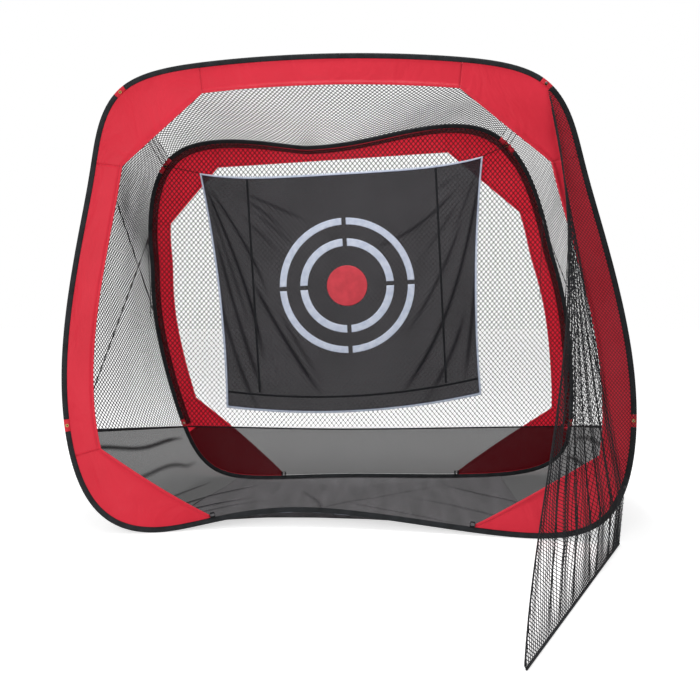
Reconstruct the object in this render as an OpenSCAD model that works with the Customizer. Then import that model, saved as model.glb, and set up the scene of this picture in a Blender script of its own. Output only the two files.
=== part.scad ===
// Pop-up golf practice net: two sprung hoops in fabric sleeves carry a tunnel of netting,
// a hanging target sheet and a wing net on the player's right.
// Origin: on the ground, midway between the two foot lines. +Z up, the mouth faces -Y.

/* [Front hoop] */
// Height of the bend frame at the middle of the top
front_mid_h = 2082; // [1900:2:2200]
// Width of the bend frame where the top begins to curve down
front_crown_w = 1120; // [900:10:1300]
// Height of the bend frame where the top begins to curve down
front_crown_h = 2055; // [1900:5:2150]
// Width of the bend frame at its top corners
front_top_w = 1940; // [1700:10:2100]
// Height of the bend frame at its top corners
front_top_h = 1990; // [1850:5:2080]
// Width of the bend frame just under the top corners
front_neck_w = 2120; // [1900:10:2300]
// Height of the frame points just under the top corners
front_neck_h = 1690; // [1600:5:1800]
// Width of the bend frame at the upper ribs
front_rib_w = 2140; // [1900:10:2300]
// Height of the upper ribs
front_rib_h = 1550; // [1400:5:1590]
// Width of the bend frame at the belly, its widest place
front_belly_w = 2520; // [2300:10:2700]
// Height of the belly
front_belly_h = 735; // [600:5:900]
// Width of the bend frame above the feet
front_foot_w = 2350; // [2200:10:2500]
// Height of the frame points above the feet
front_foot_h = 80; // [40:5:160]
// Width of the bend frame under the feet
front_sole_w = 1660; // [1500:10:1900]
// Depth of the frame points under the feet
front_sole_drop = 45; // [20:1:70]
// How far the top leans towards the back hoop
front_lean = 270; // [150:5:330]
// How far the top stands off the middle, to the right
front_rack_top = -98; // [-140:2:140]
// How far the base stands off the middle, to the right
front_rack_base = 0; // [-100:2:100]
// How much the right top corner stands above the left one
front_rise = 20; // [-60:2:60]
// How much the right foot stands behind the left one
front_toe = -48; // [-80:2:80]
// Offset of the bottom bow from the middle, to the right
front_bow_x = -325; // [-400:5:400]
// How far the bottom bows in, behind the foot line
front_bow = 250; // [150:5:320]
// Height of the frame point at the bottom bow
front_bow_h = 120; // [60:5:160]

/* [Back hoop] */
// Height of the bend frame at the dip in the top
back_mid_h = 1858; // [1780:2:1960]
// Offset of the dip in the top from the middle, to the right
back_dip_x = -150; // [-200:5:200]
// Width of the dip in the top
back_crown_w = 280; // [200:10:500]
// Height of the bend frame beside the dip
back_crown_h = 1851; // [1780:1:1960]
// Width of the bend frame at its top corners
back_top_w = 1910; // [1750:10:2050]
// Height of the bend frame at its top corners
back_top_h = 2011; // [1900:1:2100]
// Width of the bend frame just under the top corners
back_neck_w = 2240; // [2050:10:2400]
// Height of the frame points just under the top corners
back_neck_h = 1420; // [1350:5:1550]
// Width of the bend frame at the upper ribs
back_rib_w = 2224; // [2050:2:2400]
// Height of the upper ribs
back_rib_h = 1260; // [1150:5:1340]
// Width of the bend frame at the belly
back_belly_w = 2370; // [2200:10:2500]
// Height of the belly
back_belly_h = 958; // [850:2:1050]
// Width of the bend frame above the feet
back_foot_w = 2276; // [2150:2:2400]
// Height of the frame points above the feet
back_foot_h = 265; // [200:5:330]
// Width of the bend frame under the feet
back_sole_w = 2004; // [1850:2:2150]
// Depth of the frame points under the feet
back_sole_drop = 68; // [40:1:90]
// How far the top leans towards the front hoop
back_lean = 130; // [60:5:200]
// How far the top stands off the middle, to the right
back_rack_top = -153; // [-180:1:180]
// How far the base stands off the middle, to the right
back_rack_base = 176; // [-180:1:180]
// How much the right top corner stands above the left one
back_rise = 118; // [-120:2:120]
// How much the right foot stands behind the left one
back_toe = 156; // [-160:2:160]
// Offset of the bottom bow from the middle, to the right
back_bow_x = -140; // [-300:5:300]
// How far the bottom bows in, before the foot line
back_bow = 380; // [250:5:420]
// Height of the frame point at the bottom bow
back_bow_h = 82; // [50:2:120]

/* [Tunnel] */
// Distance between the two foot lines
foot_gap = 1280; // [1150:10:1400]
// Thickness of the knotted netting
net_t = 2; // [1.5:0.1:2.5]
// Thickness of the fine mesh of the floor and skirts
mesh_t = 1.6; // [1.2:0.1:2]
// Length over which the floor mesh falls from a hoop to the ground
floor_fall = 0.16; // [0.1:0.01:0.25]

/* [Sleeve and steel] */
// Size of the sleeve across the hoop, seen from the front
sleeve_w = 24; // [22:0.5:28]
// Size of the sleeve through the hoop
sleeve_t = 15.2; // [14.8:0.1:18]
// Thickness of the sleeve tape
tape_t = 1.2; // [1:0.1:1.4]
// Width of the spring-steel strip
steel_w = 10; // [8:0.5:10.5]
// Thickness of the spring-steel strip
steel_t = 1.2; // [0.8:0.1:1.4]
// Wall of the crimped ferrule that closes the strip
ferrule_wall = 0.8; // [0.6:0.1:0.8]
// Length of the ferrule
ferrule_len = 70; // [40:5:90]

/* [Border panels] */
// Thickness of the polyester panels
panel_t = 0.8; // [0.5:0.1:1]
// Width of the front hoop's top and side bands
front_band_w = 118; // [90:1:150]
// Width of the back hoop's top band at its ends
back_top_band_w = 128; // [100:1:150]
// Width of the back hoop's side bands
back_band_w = 104; // [80:1:130]
// Width of a lower corner panel at its tip, by the peg loop
panel_tip_w = 14; // [8:1:30]

/* [Eyelets and loops] */
// Length of the gap in the sleeve that an eyelet patch fills
patch_len = 54; // [44:1:70]
// Radius of the hole in an eyelet
eyelet_r = 3.5; // [2.5:0.1:4.5]
// Radius of an eyelet's flange
flange_r = 7; // [6:0.1:8]
// Thickness of an eyelet's metal
eyelet_t = 0.8; // [0.6:0.1:1]
// Distance of the eyelets from the middle of the sleeve, inwards
eyelet_in = 3; // [2:0.1:4]
// Width of the webbing of the peg loops
loop_w = 20; // [16:1:30]
// Thickness of the webbing of the peg loops
loop_t = 1.6; // [1.2:0.1:2]
// Opening of a peg loop, for the peg
loop_hole = 18; // [14:1:24]

/* [Straps and cords] */
// Width of the brace straps' webbing
strap_w = 10; // [8:0.5:14]
// Thickness of the brace straps' webbing
strap_t = 1.5; // [1:0.1:2]
// Diameter of the corner cords and target ties
cord_d = 4; // [3:0.1:5]
// Distance between the two runs of a corner cord
cord_pair = 24; // [20:1:32]
// Distance of the strap buckles from the back hoop, along the strap
buckle_at = 130; // [110:5:200]
// Length of a strap buckle
buckle_len = 34; // [28:1:44]

/* [Target] */
// Width of the target sheet at the top
target_top_w = 1580; // [1400:10:1640]
// Width of the target sheet at the bottom
target_bottom_w = 1444; // [1300:4:1500]
// Height of the target sheet
target_h = 1324; // [1200:4:1360]
// Distance of the sheet's top corners under the line through its ties
target_drop = 50; // [46:1:100]
// Offset of the sheet from the middle of its ties, to the right
target_shift = 28; // [-40:1:60]
// Sag of the sheet's top edge
target_sag = 44; // [0:1:60]
// How far the sheet's bottom edge bellies down
target_belly = 62; // [0:1:70]
// How far the sheet's side edges pull in
target_waist = 30; // [0:1:50]
// Thickness of the sheet
target_t = 1.6; // [1:0.1:2]
// Width of the binding round the sheet
binding_w = 12; // [8:1:20]
// Thickness of the binding
binding_t = 2.6; // [2:0.1:4]
// Outer radius of the large ring
ring_r = 378; // [340:2:400]
// Width of the large ring's band
ring_w = 38; // [24:1:50]
// Outer radius of the small ring
small_ring_r = 263; // [220:1:280]
// Width of the small ring's band
small_ring_w = 42; // [24:1:50]
// Gap between two quarters of a ring
ring_gap = 24; // [12:1:40]
// Radius of the bullseye
bull_r = 113; // [80:1:130]
// Thickness of the printed cloth of the rings
print_t = 0.6; // [0.4:0.1:1]
// Distance of the rings' centre under the sheet's top corners
ring_drop = 672; // [600:1:720]
// Width of the tape seams on the back of the sheet
seam_w = 12; // [8:1:20]
// Distance of the upright seams from the sheet's side edges
seam_in = 200; // [180:1:280]
// Distance of the lower seam from the sheet's bottom edge
seam_up = 98; // [60:1:140]

/* [Wing net] */
// How far the wing's tip stands before the front foot line
wing_reach = 1215; // [1000:5:1400]
// How far the wing's tip stands to the right of the middle
wing_tip_x = 508; // [300:2:700]
// Diameter of the wing's edge cord
wing_cord_d = 6; // [4:0.5:8]

/* [Hidden] */

red = [0.84, 0.16, 0.23];
black = [0.12, 0.12, 0.13];
net_black = [0.16, 0.16, 0.17];
mesh_grey = [0.36, 0.36, 0.38];
print_grey = [0.78, 0.81, 0.88];
brass = [0.72, 0.58, 0.3];
steel = [0.6, 0.62, 0.65];

// Clearance between pieces that lie against each other
clear = 0.3;
$fn = 48;

// ---- The hoops' curve ------------------------------------------------------
// Each hoop is a smooth closed curve inside a bend frame of 16 points: the top middle, seven
// points down the left, the bottom bow, and the same seven up the right. FRONT and BACK pick
// a hoop. A place on a hoop is s, from 0 at the top middle, over the left to 8 at the bottom
// and over the right back to 16. The same s on both hoops is the two ends of one net thread.
FRONT = 0;
BACK = 1;
TURN = 16;
half_frame = [
    [[front_crown_w / 2, front_crown_h], [front_top_w / 2, front_top_h],
     [front_neck_w / 2, front_neck_h], [front_rib_w / 2, front_rib_h],
     [front_belly_w / 2, front_belly_h], [front_foot_w / 2, front_foot_h],
     [front_sole_w / 2, -front_sole_drop]],
    [[back_crown_w / 2, back_crown_h], [back_top_w / 2, back_top_h],
     [back_neck_w / 2, back_neck_h], [back_rib_w / 2, back_rib_h],
     [back_belly_w / 2, back_belly_h], [back_foot_w / 2, back_foot_h],
     [back_sole_w / 2, -back_sole_drop]]
];
mid_h = [front_mid_h, back_mid_h];
full_h = [front_mid_h, (back_mid_h + back_top_h) / 2];
dip_x = [0, back_dip_x];
lean = [front_lean, back_lean];
rack_top = [front_rack_top, back_rack_top];
rack_base = [front_rack_base, back_rack_base];
rise = [front_rise / front_top_w, back_rise / back_top_w];
toe = [front_toe / front_foot_w, back_toe / back_foot_w];
foot_y = [-foot_gap / 2, foot_gap / 2];
inward = [1, -1];
bow = [[front_bow_x, foot_y[0] + front_bow, front_bow_h],
       [back_bow_x, foot_y[1] - back_bow, back_bow_h]];

function unit(v) = v / norm(v);
function mix(a, b, k) = a * (1 - k) + b * k;
function share(h, z) = min(max(z / full_h[h], 0), 1);
function post(h, side, x, z) =
    let (k = share(h, z))
    [side * x + mix(rack_base[h], rack_top[h], k),
     foot_y[h] + inward[h] * lean[h] * k + side * toe[h] * x * (1 - k),
     z + side * rise[h] * x * k];
function frame_points(h) = [
    post(h, 1, 0, mid_h[h]) + [dip_x[h], 0, rise[h] * dip_x[h]],
    for (i = [0:6]) post(h, -1, half_frame[h][i][0], half_frame[h][i][1]),
    bow[h],
    for (i = [6:-1:0]) post(h, 1, half_frame[h][i][0], half_frame[h][i][1])
];
frame = [frame_points(FRONT), frame_points(BACK)];

// Uniform cubic B-spline through the frame, at t in its own steps
function on_frame(h, t) =
    let (i = floor(t), u = t - i, c = frame[h], n = len(c))
    (c[(i + n - 1) % n] * pow(1 - u, 3) + c[(i + n) % n] * (3 * pow(u, 3) - 6 * u * u + 4)
     + c[(i + n + 1) % n] * (-3 * pow(u, 3) + 3 * u * u + 3 * u + 1)
     + c[(i + n + 2) % n] * pow(u, 3)) / 6;
// Places that the two hoops share: middle, top eyelet, skirt top, foot, bottom and back up
shared = [[0, 0], [2.11, 2.26], [5.45, 6.04], [6.85, 7.17], [8, 8],
          [9.25, 8.87], [10.6, 9.9], [13.89, 13.74], [16, 16]];
function wrap(s) = s - TURN * floor(s / TURN);
function own(h, s) = h == FRONT ? wrap(s) : lookup(wrap(s), shared);
function of_back(t) = lookup(t, [for (p = shared) [p[1], p[0]]]);

// Middle of each hoop, and the directions at s: out of the hoop, through it and along it
function total(v, i = 0) = i < len(v) ? v[i] + total(v, i + 1) : [0, 0, 0];
middle = [for (h = [FRONT, BACK]) total(frame[h]) / TURN];
function along(h, s) = unit(on_frame(h, own(h, s + 0.01)) - on_frame(h, own(h, s - 0.01)));
function out(h, s) =
    let (d = on_frame(h, own(h, s)) - middle[h], t = along(h, s)) unit(d - t * (d * t));
function through(h, s) = cross(along(h, s), out(h, s));
function speed(h, s) = norm(on_frame(h, own(h, s + 0.01)) - on_frame(h, own(h, s - 0.01))) / 0.02;
// Lift that stands the lowest place of each sleeve on the ground, among the stations
half_t = sleeve_t / 2;
half_w = sleeve_w / 2;
function lowest(h, s) = let (u = abs(out(h, s)[2]), w = abs(through(h, s)[2]))
    on_frame(h, own(h, s))[2] - max(half_w * u + (half_t - 2) * w, (half_w - 2.3) * u + half_t * w);
function place(h, s) = on_frame(h, own(h, s)) + [0, 0, lift[h]];
// A point at s, set off by u out of the hoop and by w towards the back
function at(h, s, u, w) = place(h, s) + u * out(h, s) + w * through(h, s);

// ---- Stations --------------------------------------------------------------
// Every piece on a hoop turns at the same stations, so neighbours keep their clearance.
// A fitting, such as an eyelet patch, sits on a straight stretch between two stations.
eyelet_s = [2.11, 5.45, 10.6, 13.89];
peg_s = [7.42, 8.79];
ferrule_s = 8.2;
// Seams between the border panels: top corners' starts and ends, lower corners' starts
seam_s = [[1.1, 3.5, 5.68, 10.32, 12.5, 14.9], [1.54, 2.77, 5.25, 10.75, 13.23, 14.46]];
wing_foot_s = 10.11;
STEPS = 96;
NEAR = 0.05;
function span(s, length) = let (d = length / 2 / speed(FRONT, s)) [s - d, s + d];
patch_span = [for (s = eyelet_s) span(s, patch_len)];
loop_span = [for (s = peg_s) span(s, loop_hole + 2 * loop_t)];
ferrule_span = span(ferrule_s, ferrule_len);
busy = concat(patch_span, loop_span, [ferrule_span]);
marks = concat([for (b = busy) each b], seam_s[FRONT], seam_s[BACK]);
function is_free(s) =
    len([for (b = busy) if (s > b[0] - NEAR && s < b[1] + NEAR) 1]) == 0
    && len([for (m = marks) if (abs(m - s) < NEAR) 1]) == 0;
function sorted(v) = len(v) < 2 ? v : let (p = v[floor(len(v) / 2)])
    concat(sorted([for (x = v) if (x < p) x]), [p], sorted([for (x = v) if (x > p) x]));
grid = sorted(concat(marks, [for (i = [0:STEPS - 1]) let (s = i * TURN / STEPS) if (is_free(s)) s]));
lift = [for (h = [FRONT, BACK]) -min([for (s = grid) if (s > 6 && s < 10) lowest(h, s)])];
TINY = 0.000001;
function stations(a, b) = [for (turn = [0, TURN], g = grid)
    if (g + turn > a - TINY && g + turn < b + TINY) g + turn];
// Ends of each sleeve section, from one eyelet patch to the next
function sleeve_ends(i) = i == 0 ? [patch_span[3][1], patch_span[0][0] + TURN]
    : [patch_span[i - 1][1], patch_span[i][0]];

// Frame of a straight stretch: its middle, out, through and along
function stretch(h, ends) =
    let (a = place(h, ends[0]), b = place(h, ends[1]), t = unit(b - a),
         o = out(h, ends[0]) + out(h, ends[1]), u = unit(o - t * (o * t)))
    [(a + b) / 2, u, cross(t, u), t];
function in_stretch(f, p) = [(p - f[0]) * f[1], -(p - f[0]) * f[3]];
function stretch_point(f, u, w, t = 0) = f[0] + u * f[1] + w * f[2] + t * f[3];
// Sets its children on a stretch: x out of the hoop, z through it, y back along it
module on_stretch(f) {
    multmatrix([[f[1][0], -f[3][0], f[2][0], f[0][0]],
                [f[1][1], -f[3][1], f[2][1], f[0][1]],
                [f[1][2], -f[3][2], f[2][2], f[0][2]]])
        children();
}

// ---- The surface that fills each hoop ---------------------------------------
// It runs straight across between the two sides, and the bottom draws it in to its bow.
SIDE_STEP = 0.1;
left_side = [for (h = [FRONT, BACK]) [for (s = [5.5:-SIDE_STEP:1.55]) place(h, s)]];
right_side = [for (h = [FRONT, BACK]) [for (s = [10.5:SIDE_STEP:14.45]) place(h, s)]];
bottom_side = [for (h = [FRONT, BACK]) [for (s = [5.5:SIDE_STEP:10.55]) place(h, s)]];
bow_reach = 700;
function column(points, key, value) = [for (p = points) [p[key], p[value]]];
function flat_y(h, x, z) = let (k = share(h, z))
    foot_y[h] + inward[h] * lean[h] * k
    + toe[h] * (x - mix(rack_base[h], rack_top[h], k)) * (1 - k);
bottom_z = [for (h = [FRONT, BACK]) column(bottom_side[h], 0, 2)];
bottom_d = [for (h = [FRONT, BACK]) [for (p = bottom_side[h]) [p[0], p[1] - flat_y(h, p[0], p[2])]]];
function bowed_y(h, x, z) = let (k = min(max(1 - (z - lookup(x, bottom_z[h])) / bow_reach, 0), 1))
    flat_y(h, x, z) + k * k * lookup(x, bottom_d[h]);
left_x = [for (h = [FRONT, BACK]) column(left_side[h], 2, 0)];
right_x = [for (h = [FRONT, BACK]) column(right_side[h], 2, 0)];
left_d = [for (h = [FRONT, BACK]) [for (p = left_side[h]) [p[2], p[1] - bowed_y(h, p[0], p[2])]]];
right_d = [for (h = [FRONT, BACK]) [for (p = right_side[h]) [p[2], p[1] - bowed_y(h, p[0], p[2])]]];
function fill_y(h, x, z) = let (xl = lookup(z, left_x[h]), xr = lookup(z, right_x[h]))
    bowed_y(h, x, z) + mix(lookup(z, left_d[h]), lookup(z, right_d[h]),
                           min(max((x - xl) / (xr - xl), 0), 1));
// The same point, moved onto that surface and d towards the back
function filled(h, p, d = 0) = [p[0], fill_y(h, p[0], p[2]) + d, p[2]];

// ---- Solids from points -----------------------------------------------------
function flip(faces) = [for (f = faces) [f[2], f[1], f[0]]];
// A solid through rings of points that run anticlockwise, seen from the last ring
module loft(rings) {
    n = len(rings[0]);
    last = (len(rings) - 1) * n;
    polyhedron(
        points = [for (r = rings) each r],
        faces = concat(
            [for (i = [0:len(rings) - 2], j = [0:n - 1], k = [0, 1])
                let (a = i * n + j, b = i * n + (j + 1) % n)
                k == 0 ? [a, a + n, b + n] : [a, b + n, b]],
            [[for (j = [0:n - 1]) j]],
            [[for (j = [n - 1:-1:0]) last + j]]));
}
// A closed hoop through rings of points
module closed_loft(rings) {
    n = len(rings[0]);
    m = len(rings);
    polyhedron(
        points = [for (r = rings) each r],
        faces = [for (i = [0:m - 1], j = [0:n - 1], k = [0, 1])
            let (a = i * n + j, b = i * n + (j + 1) % n, up = ((i + 1) % m - i) * n)
            k == 0 ? [a, a + up, b + up] : [a, b + up, b]]);
}
function normal(g, i, j) =
    let (m = len(g) - 1, n = len(g[0]) - 1,
         di = g[min(i + 1, m)][j] - g[max(i - 1, 0)][j],
         dj = g[i][min(j + 1, n)] - g[i][max(j - 1, 0)])
    unit(cross(di, dj));
// A sheet of thickness t with its middle on the points g[i][j]
module sheet(g, t) {
    m = len(g) - 1;
    n = len(g[0]) - 1;
    low = (m + 1) * (n + 1);
    off = [for (i = [0:m]) [for (j = [0:n]) normal(g, i, j) * t / 2]];
    top = [for (i = [0:m], j = [0:n]) g[i][j] + off[i][j]];
    base = [for (i = [0:m], j = [0:n]) g[i][j] - off[i][j]];
    skin = [for (i = [0:m - 1], j = [0:n - 1], k = [0, 1])
        let (a = i * (n + 1) + j, b = a + n + 1)
        k == 0 ? [a, a + 1, b + 1] : [a, b + 1, b]];
    side_i = [for (i = [0:m - 1], k = [0, 1]) let (a = i * (n + 1), b = a + n + 1)
        k == 0 ? [a, b, b + low] : [a, b + low, a + low]];
    side_j = [for (j = [0:n - 1], k = [0, 1])
        k == 0 ? [j, j + low, j + 1 + low] : [j, j + 1 + low, j + 1]];
    far_i = [for (f = side_i) [for (q = f) q + n]];
    far_j = [for (f = side_j) [for (q = f) q + m * (n + 1)]];
    polyhedron(
        points = concat(top, base),
        faces = concat(skin, flip([for (f = skin) [for (q = f) q + low]]),
                       side_i, flip(far_i), side_j, flip(far_j)));
}
// A sheet over the same grid with rows of openings, every so many steps, left between its bars
module netted(g, t, every) {
    m = len(g) - 1;
    n = len(g[0]) - 1;
    low = (m + 1) * (n + 1);
    function kept(i, j) = i >= 0 && i < m && j >= 0 && j < n
        && (i % every == 0 || i == m - 1 || j % 2 == 0);
    cells = [for (i = [0:m - 1], j = [0:n - 1]) if (kept(i, j)) [i, j]];
    off = [for (i = [0:m]) [for (j = [0:n]) normal(g, i, j) * t / 2]];
    skin = [for (c = cells, k = [0, 1]) let (a = c[0] * (n + 1) + c[1], b = a + n + 1)
        k == 0 ? [a, a + 1, b + 1] : [a, b + 1, b]];
    walls = [for (c = cells, w = [[-1, 0, 0, 1], [0, 1, 1, n + 2], [1, 0, n + 2, n + 1], [0, -1, n + 1, 0]],
            k = [0, 1])
        let (a = c[0] * (n + 1) + c[1], p = a + w[2], q = a + w[3])
        if (!kept(c[0] + w[0], c[1] + w[1])) k == 0 ? [q, p, p + low] : [q, p + low, q + low]];
    polyhedron(
        points = [for (side = [1, -1], i = [0:m], j = [0:n]) g[i][j] + side * off[i][j]],
        faces = concat(skin, flip([for (f = skin) [for (q = f) q + low]]), walls));
}
// A sheet closed round its middle: rings of points from the edge inwards, then one point
module round_sheet(rings, centre, offset) {
    n = len(rings[0]);
    m = len(rings);
    low = n * m + 1;
    points = concat([for (r = rings) each r], [centre]);
    skin = concat(
        [for (i = [0:m - 2], j = [0:n - 1], k = [0, 1])
            let (a = i * n + j, b = i * n + (j + 1) % n)
            k == 0 ? [a, b, b + n] : [a, b + n, a + n]],
        [for (j = [0:n - 1]) [(m - 1) * n + j, (m - 1) * n + (j + 1) % n, n * m]]);
    rim = [for (j = [0:n - 1], k = [0, 1]) let (b = (j + 1) % n)
        k == 0 ? [j, j + low, b + low] : [j, b + low, b]];
    polyhedron(
        points = concat([for (p = points) p + offset], [for (p = points) p - offset]),
        faces = concat(skin, flip([for (f = skin) [for (q = f) q + low]]), rim));
}
// A round cord of diameter d through points
function ring8(p, t, d) =
    let (a = unit(cross(t, abs(t[2]) > 0.9 ? [0, 1, 0] : [0, 0, 1])), b = cross(t, a))
    [for (k = [0:7]) p + d / 2 * (cos(k * 45) * a + sin(k * 45) * b)];
module cord(points, d) {
    m = len(points) - 1;
    loft([for (i = [0:m])
        ring8(points[i], unit(points[min(i + 1, m)] - points[max(i - 1, 0)]), d)]);
}

// ---- Steel hoops and sleeves ------------------------------------------------
lip = 0.7;
// Section of the folded tape: closed on the outside, with two lips on the inside
tape_section = [
    [-half_w, lip + tape_t], [-half_w, lip],
    [half_w - 9, half_t - tape_t], [half_w - 2.8, half_t - tape_t],
    [half_w - tape_t, half_t - 2.4], [half_w - tape_t, -half_t + 2.4],
    [half_w - 2.8, -half_t + tape_t], [half_w - 9, -half_t + tape_t],
    [-half_w, -lip], [-half_w, -lip - tape_t],
    [half_w - 9, -half_t], [half_w - 2.3, -half_t], [half_w, -half_t + 2],
    [half_w, half_t - 2], [half_w - 2.3, half_t], [half_w - 9, half_t]
];
steel_u = half_w - 2.8 - clear - ferrule_wall - clear - steel_t;
steel_section = [[steel_u, -steel_w / 2], [steel_u + steel_t, -steel_w / 2],
                 [steel_u + steel_t, steel_w / 2], [steel_u, steel_w / 2]];
function section_at(h, s, section) = [for (q = section) at(h, s, q[0], q[1])];

module sleeve(h, i) {
    ends = sleeve_ends(i);
    color(black) loft([for (s = stations(ends[0], ends[1])) section_at(h, s, tape_section)]);
}
module steel_hoop(h) {
    color(steel) closed_loft([for (s = grid) section_at(h, s, steel_section)]);
}
// A crimped box round the strip's lapped ends
function box_section(e) = [[steel_u - e, -steel_w / 2 - e], [steel_u + steel_t + e, -steel_w / 2 - e],
                           [steel_u + steel_t + e, steel_w / 2 + e], [steel_u - e, steel_w / 2 + e]];
module ferrule_block(h, e, over) {
    a = section_at(h, ferrule_span[0], box_section(e));
    b = section_at(h, ferrule_span[1], box_section(e));
    loft([mix(a, b, -over), mix(a, b, 1 + over)]);
}
module ferrule(h) color(steel) difference() {
    ferrule_block(h, clear + ferrule_wall, -0.01);
    ferrule_block(h, clear, 0.01);
}

// ---- Border panels ----------------------------------------------------------
// The panel's edge sits in the sleeve's lips; its free edge is on the filling surface.
tuck = 2;
band_w = [front_band_w, back_band_w];
top_band_w = [front_band_w, back_top_band_w];
function free_edge(h, s, width) = filled(h, at(h, s, -half_w - width, 0));
// width0 and width1 are at the ends; a straight panel's free edge is one straight line
module panel(h, from, to, width0, width1, straight) {
    nudge = clear / 2 / speed(h, from);
    list = stations(from, to);
    m = len(list) - 1;
    places = [for (i = [0:m]) i == 0 ? list[0] + nudge : i == m ? list[m] - nudge : list[i]];
    first = free_edge(h, places[0], width0);
    last = free_edge(h, places[m], width1);
    run = place(h, places[m]) - place(h, places[0]);
    color(red) sheet([for (i = [0:m])
        let (s = places[i],
             k = min(max((place(h, s) - place(h, places[0])) * run / (run * run), 0), 1),
             edge = straight ? filled(h, mix(first, last, k)) : free_edge(h, s, mix(width0, width1, k)))
        concat([at(h, s, -half_w + tuck, 0), at(h, s, -half_w - 1, 0)],
               [for (j = straight ? [0.25:0.25:0.99] : [])
                   filled(h, mix(at(h, s, -half_w - 1, 0), edge, j))],
               [edge])], panel_t);
}
module band_top(h) panel(h, seam_s[h][5], seam_s[h][0] + TURN, top_band_w[h], top_band_w[h], h == BACK);
module band_left(h) panel(h, seam_s[h][1], seam_s[h][2], band_w[h], band_w[h], false);
module band_right(h) panel(h, seam_s[h][3], seam_s[h][4], band_w[h], band_w[h], false);
module corner_top_left(h) panel(h, seam_s[h][0], seam_s[h][1], top_band_w[h], band_w[h], true);
module corner_top_right(h) panel(h, seam_s[h][4], seam_s[h][5], band_w[h], top_band_w[h], true);
module corner_bottom_left(h) panel(h, seam_s[h][2], loop_span[0][0], band_w[h], panel_tip_w, true);
module corner_bottom_right(h) panel(h, loop_span[1][1], seam_s[h][3], panel_tip_w, band_w[h], true);

// ---- Eyelet patches, eyelets and peg loops ----------------------------------
barrel_r = eyelet_r + eyelet_t;
flange_w = half_t + clear + eyelet_t;
module eyelet_patch(h, ends) {
    f = stretch(h, ends);
    corners = [for (e = [[0, 1], [0, -1], [1, -1], [1, 1]])
        in_stretch(f, at(h, ends[e[0]], e[1] * half_w, 0) + (1 - 2 * e[0]) * clear * f[3])];
    mid = (corners[0] + corners[1] + corners[2] + corners[3]) / 4;
    on_stretch(f) difference() {
        linear_extrude(sleeve_t, center = true) polygon(corners);
        translate([0, 0, 0]) linear_extrude(sleeve_t - 2 * tape_t, center = true)
            translate([mid[0], mid[1]])
                square([sleeve_w - 2 * tape_t, 2 * patch_len], center = true);
        translate([mid[0] - half_w, mid[1], 0])
            cube([4 * tape_t, 2 * patch_len, 2 * lip], center = true);
        translate([-eyelet_in, 0, 0]) cylinder(r = barrel_r + clear, h = 2 * sleeve_t, center = true);
    }
}
module eyelet_patches(h) color(red) for (e = patch_span) eyelet_patch(h, e);
module eyelet(h, ends) {
    on_stretch(stretch(h, ends)) translate([-eyelet_in, 0, 0]) difference() {
        union() {
            cylinder(r = barrel_r, h = 2 * flange_w, center = true);
            for (side = [-1, 1]) translate([0, 0, side * (flange_w - eyelet_t / 2)])
                cylinder(r = flange_r, h = eyelet_t, center = true);
        }
        cylinder(r = eyelet_r, h = 3 * flange_w, center = true);
    }
}
module eyelets(h) color(brass) for (e = patch_span) eyelet(h, e);
// Distance of the back net's edge before the panels' middle
net_edge_w = panel_t / 2 + clear + net_t / 2;
// The back hoop's loops stand before its mesh, beside the sleeve's slope
loop_shift = [0, -loop_w / 2 - net_edge_w - mesh_t / 2 - clear];
loop_top = [-half_w - clear, -half_w + 2];
module peg_loops(h) color(black) for (ends = loop_span)
    on_stretch(stretch(h, ends)) translate([loop_top[h] - loop_t - loop_hole / 2, 0, loop_shift[h]])
        linear_extrude(loop_w, center = true) difference() {
            square([loop_hole + 2 * loop_t, loop_hole + 2 * loop_t], center = true);
            square([loop_hole, loop_hole], center = true);
        }

// ---- Nets between the hoops -------------------------------------------------
net_u = half_w - 5.5;
net_seat = half_t + clear + 0.4;
// Openings of a net between the hoops, and the share of its depth that one bar takes
net_holes = 4;
bar_share = 0.06;
hole_share = (1 - (net_holes + 1) * bar_share) / net_holes;
NET_BARS = [for (k = [0:net_holes], edge = [0, bar_share]) k * (bar_share + hole_share) + edge];
// Steps of the hoop from one bar to the next
HOLE_STEPS = 4;
FLOOR = [0, floor_fall, floor_fall + 0.04, 0.5, 0.96 - floor_fall, 1 - floor_fall, 1];
SETTLE_TOP = 140;
SETTLE_LOW = 50;
function thread(s, v) = mix(at(FRONT, s, net_u, net_seat), at(BACK, s, net_u, -net_seat), v);
// How much of its height a skirt loses where it nears the ground, away from the hoops
function settled(p, v) =
    let (k = min(max((SETTLE_TOP - p[2]) / (SETTLE_TOP - SETTLE_LOW), 0), 1)
             * min(v / floor_fall, (1 - v) / floor_fall, 1))
    [p[0], p[1], mix(p[2], mesh_t / 2, k)];
function inset_ends(list, e) = [for (i = [0:len(list) - 1])
    i == 0 ? list[0] + e : i == len(list) - 1 ? list[i] - e : list[i]];
seam_gap = 0.001;
module tunnel_net(from, to) netted([for (s = inset_ends(stations(from, to), seam_gap))
    [for (v = NET_BARS) thread(s, v)]], net_t, HOLE_STEPS);
module skirt(from, to) sheet([for (s = inset_ends(stations(from, to), seam_gap))
    [for (v = FLOOR) settled(thread(s, v), v)]], mesh_t);
function floor_point(s, v) = let (p = thread(s, v), k = min(v / floor_fall, (1 - v) / floor_fall, 1))
    [p[0], p[1], mix(p[2], mesh_t / 2, k)];
skirt_top = [patch_span[1][1], patch_span[2][0]];
roof_end = [patch_span[0][0], patch_span[3][1]];
foot_s = [stations(6.7, 7)[0], stations(9, 9.3)[1]];
module roof_net() color(net_black) tunnel_net(roof_end[1], roof_end[0] + TURN);
module left_side_net() color(net_black) tunnel_net(roof_end[0], skirt_top[0]);
module right_side_net() color(net_black) tunnel_net(skirt_top[1], roof_end[1]);
module left_skirt() color(mesh_grey) skirt(skirt_top[0], foot_s[0]);
module right_skirt() color(mesh_grey) skirt(foot_s[1], skirt_top[1]);
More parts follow.
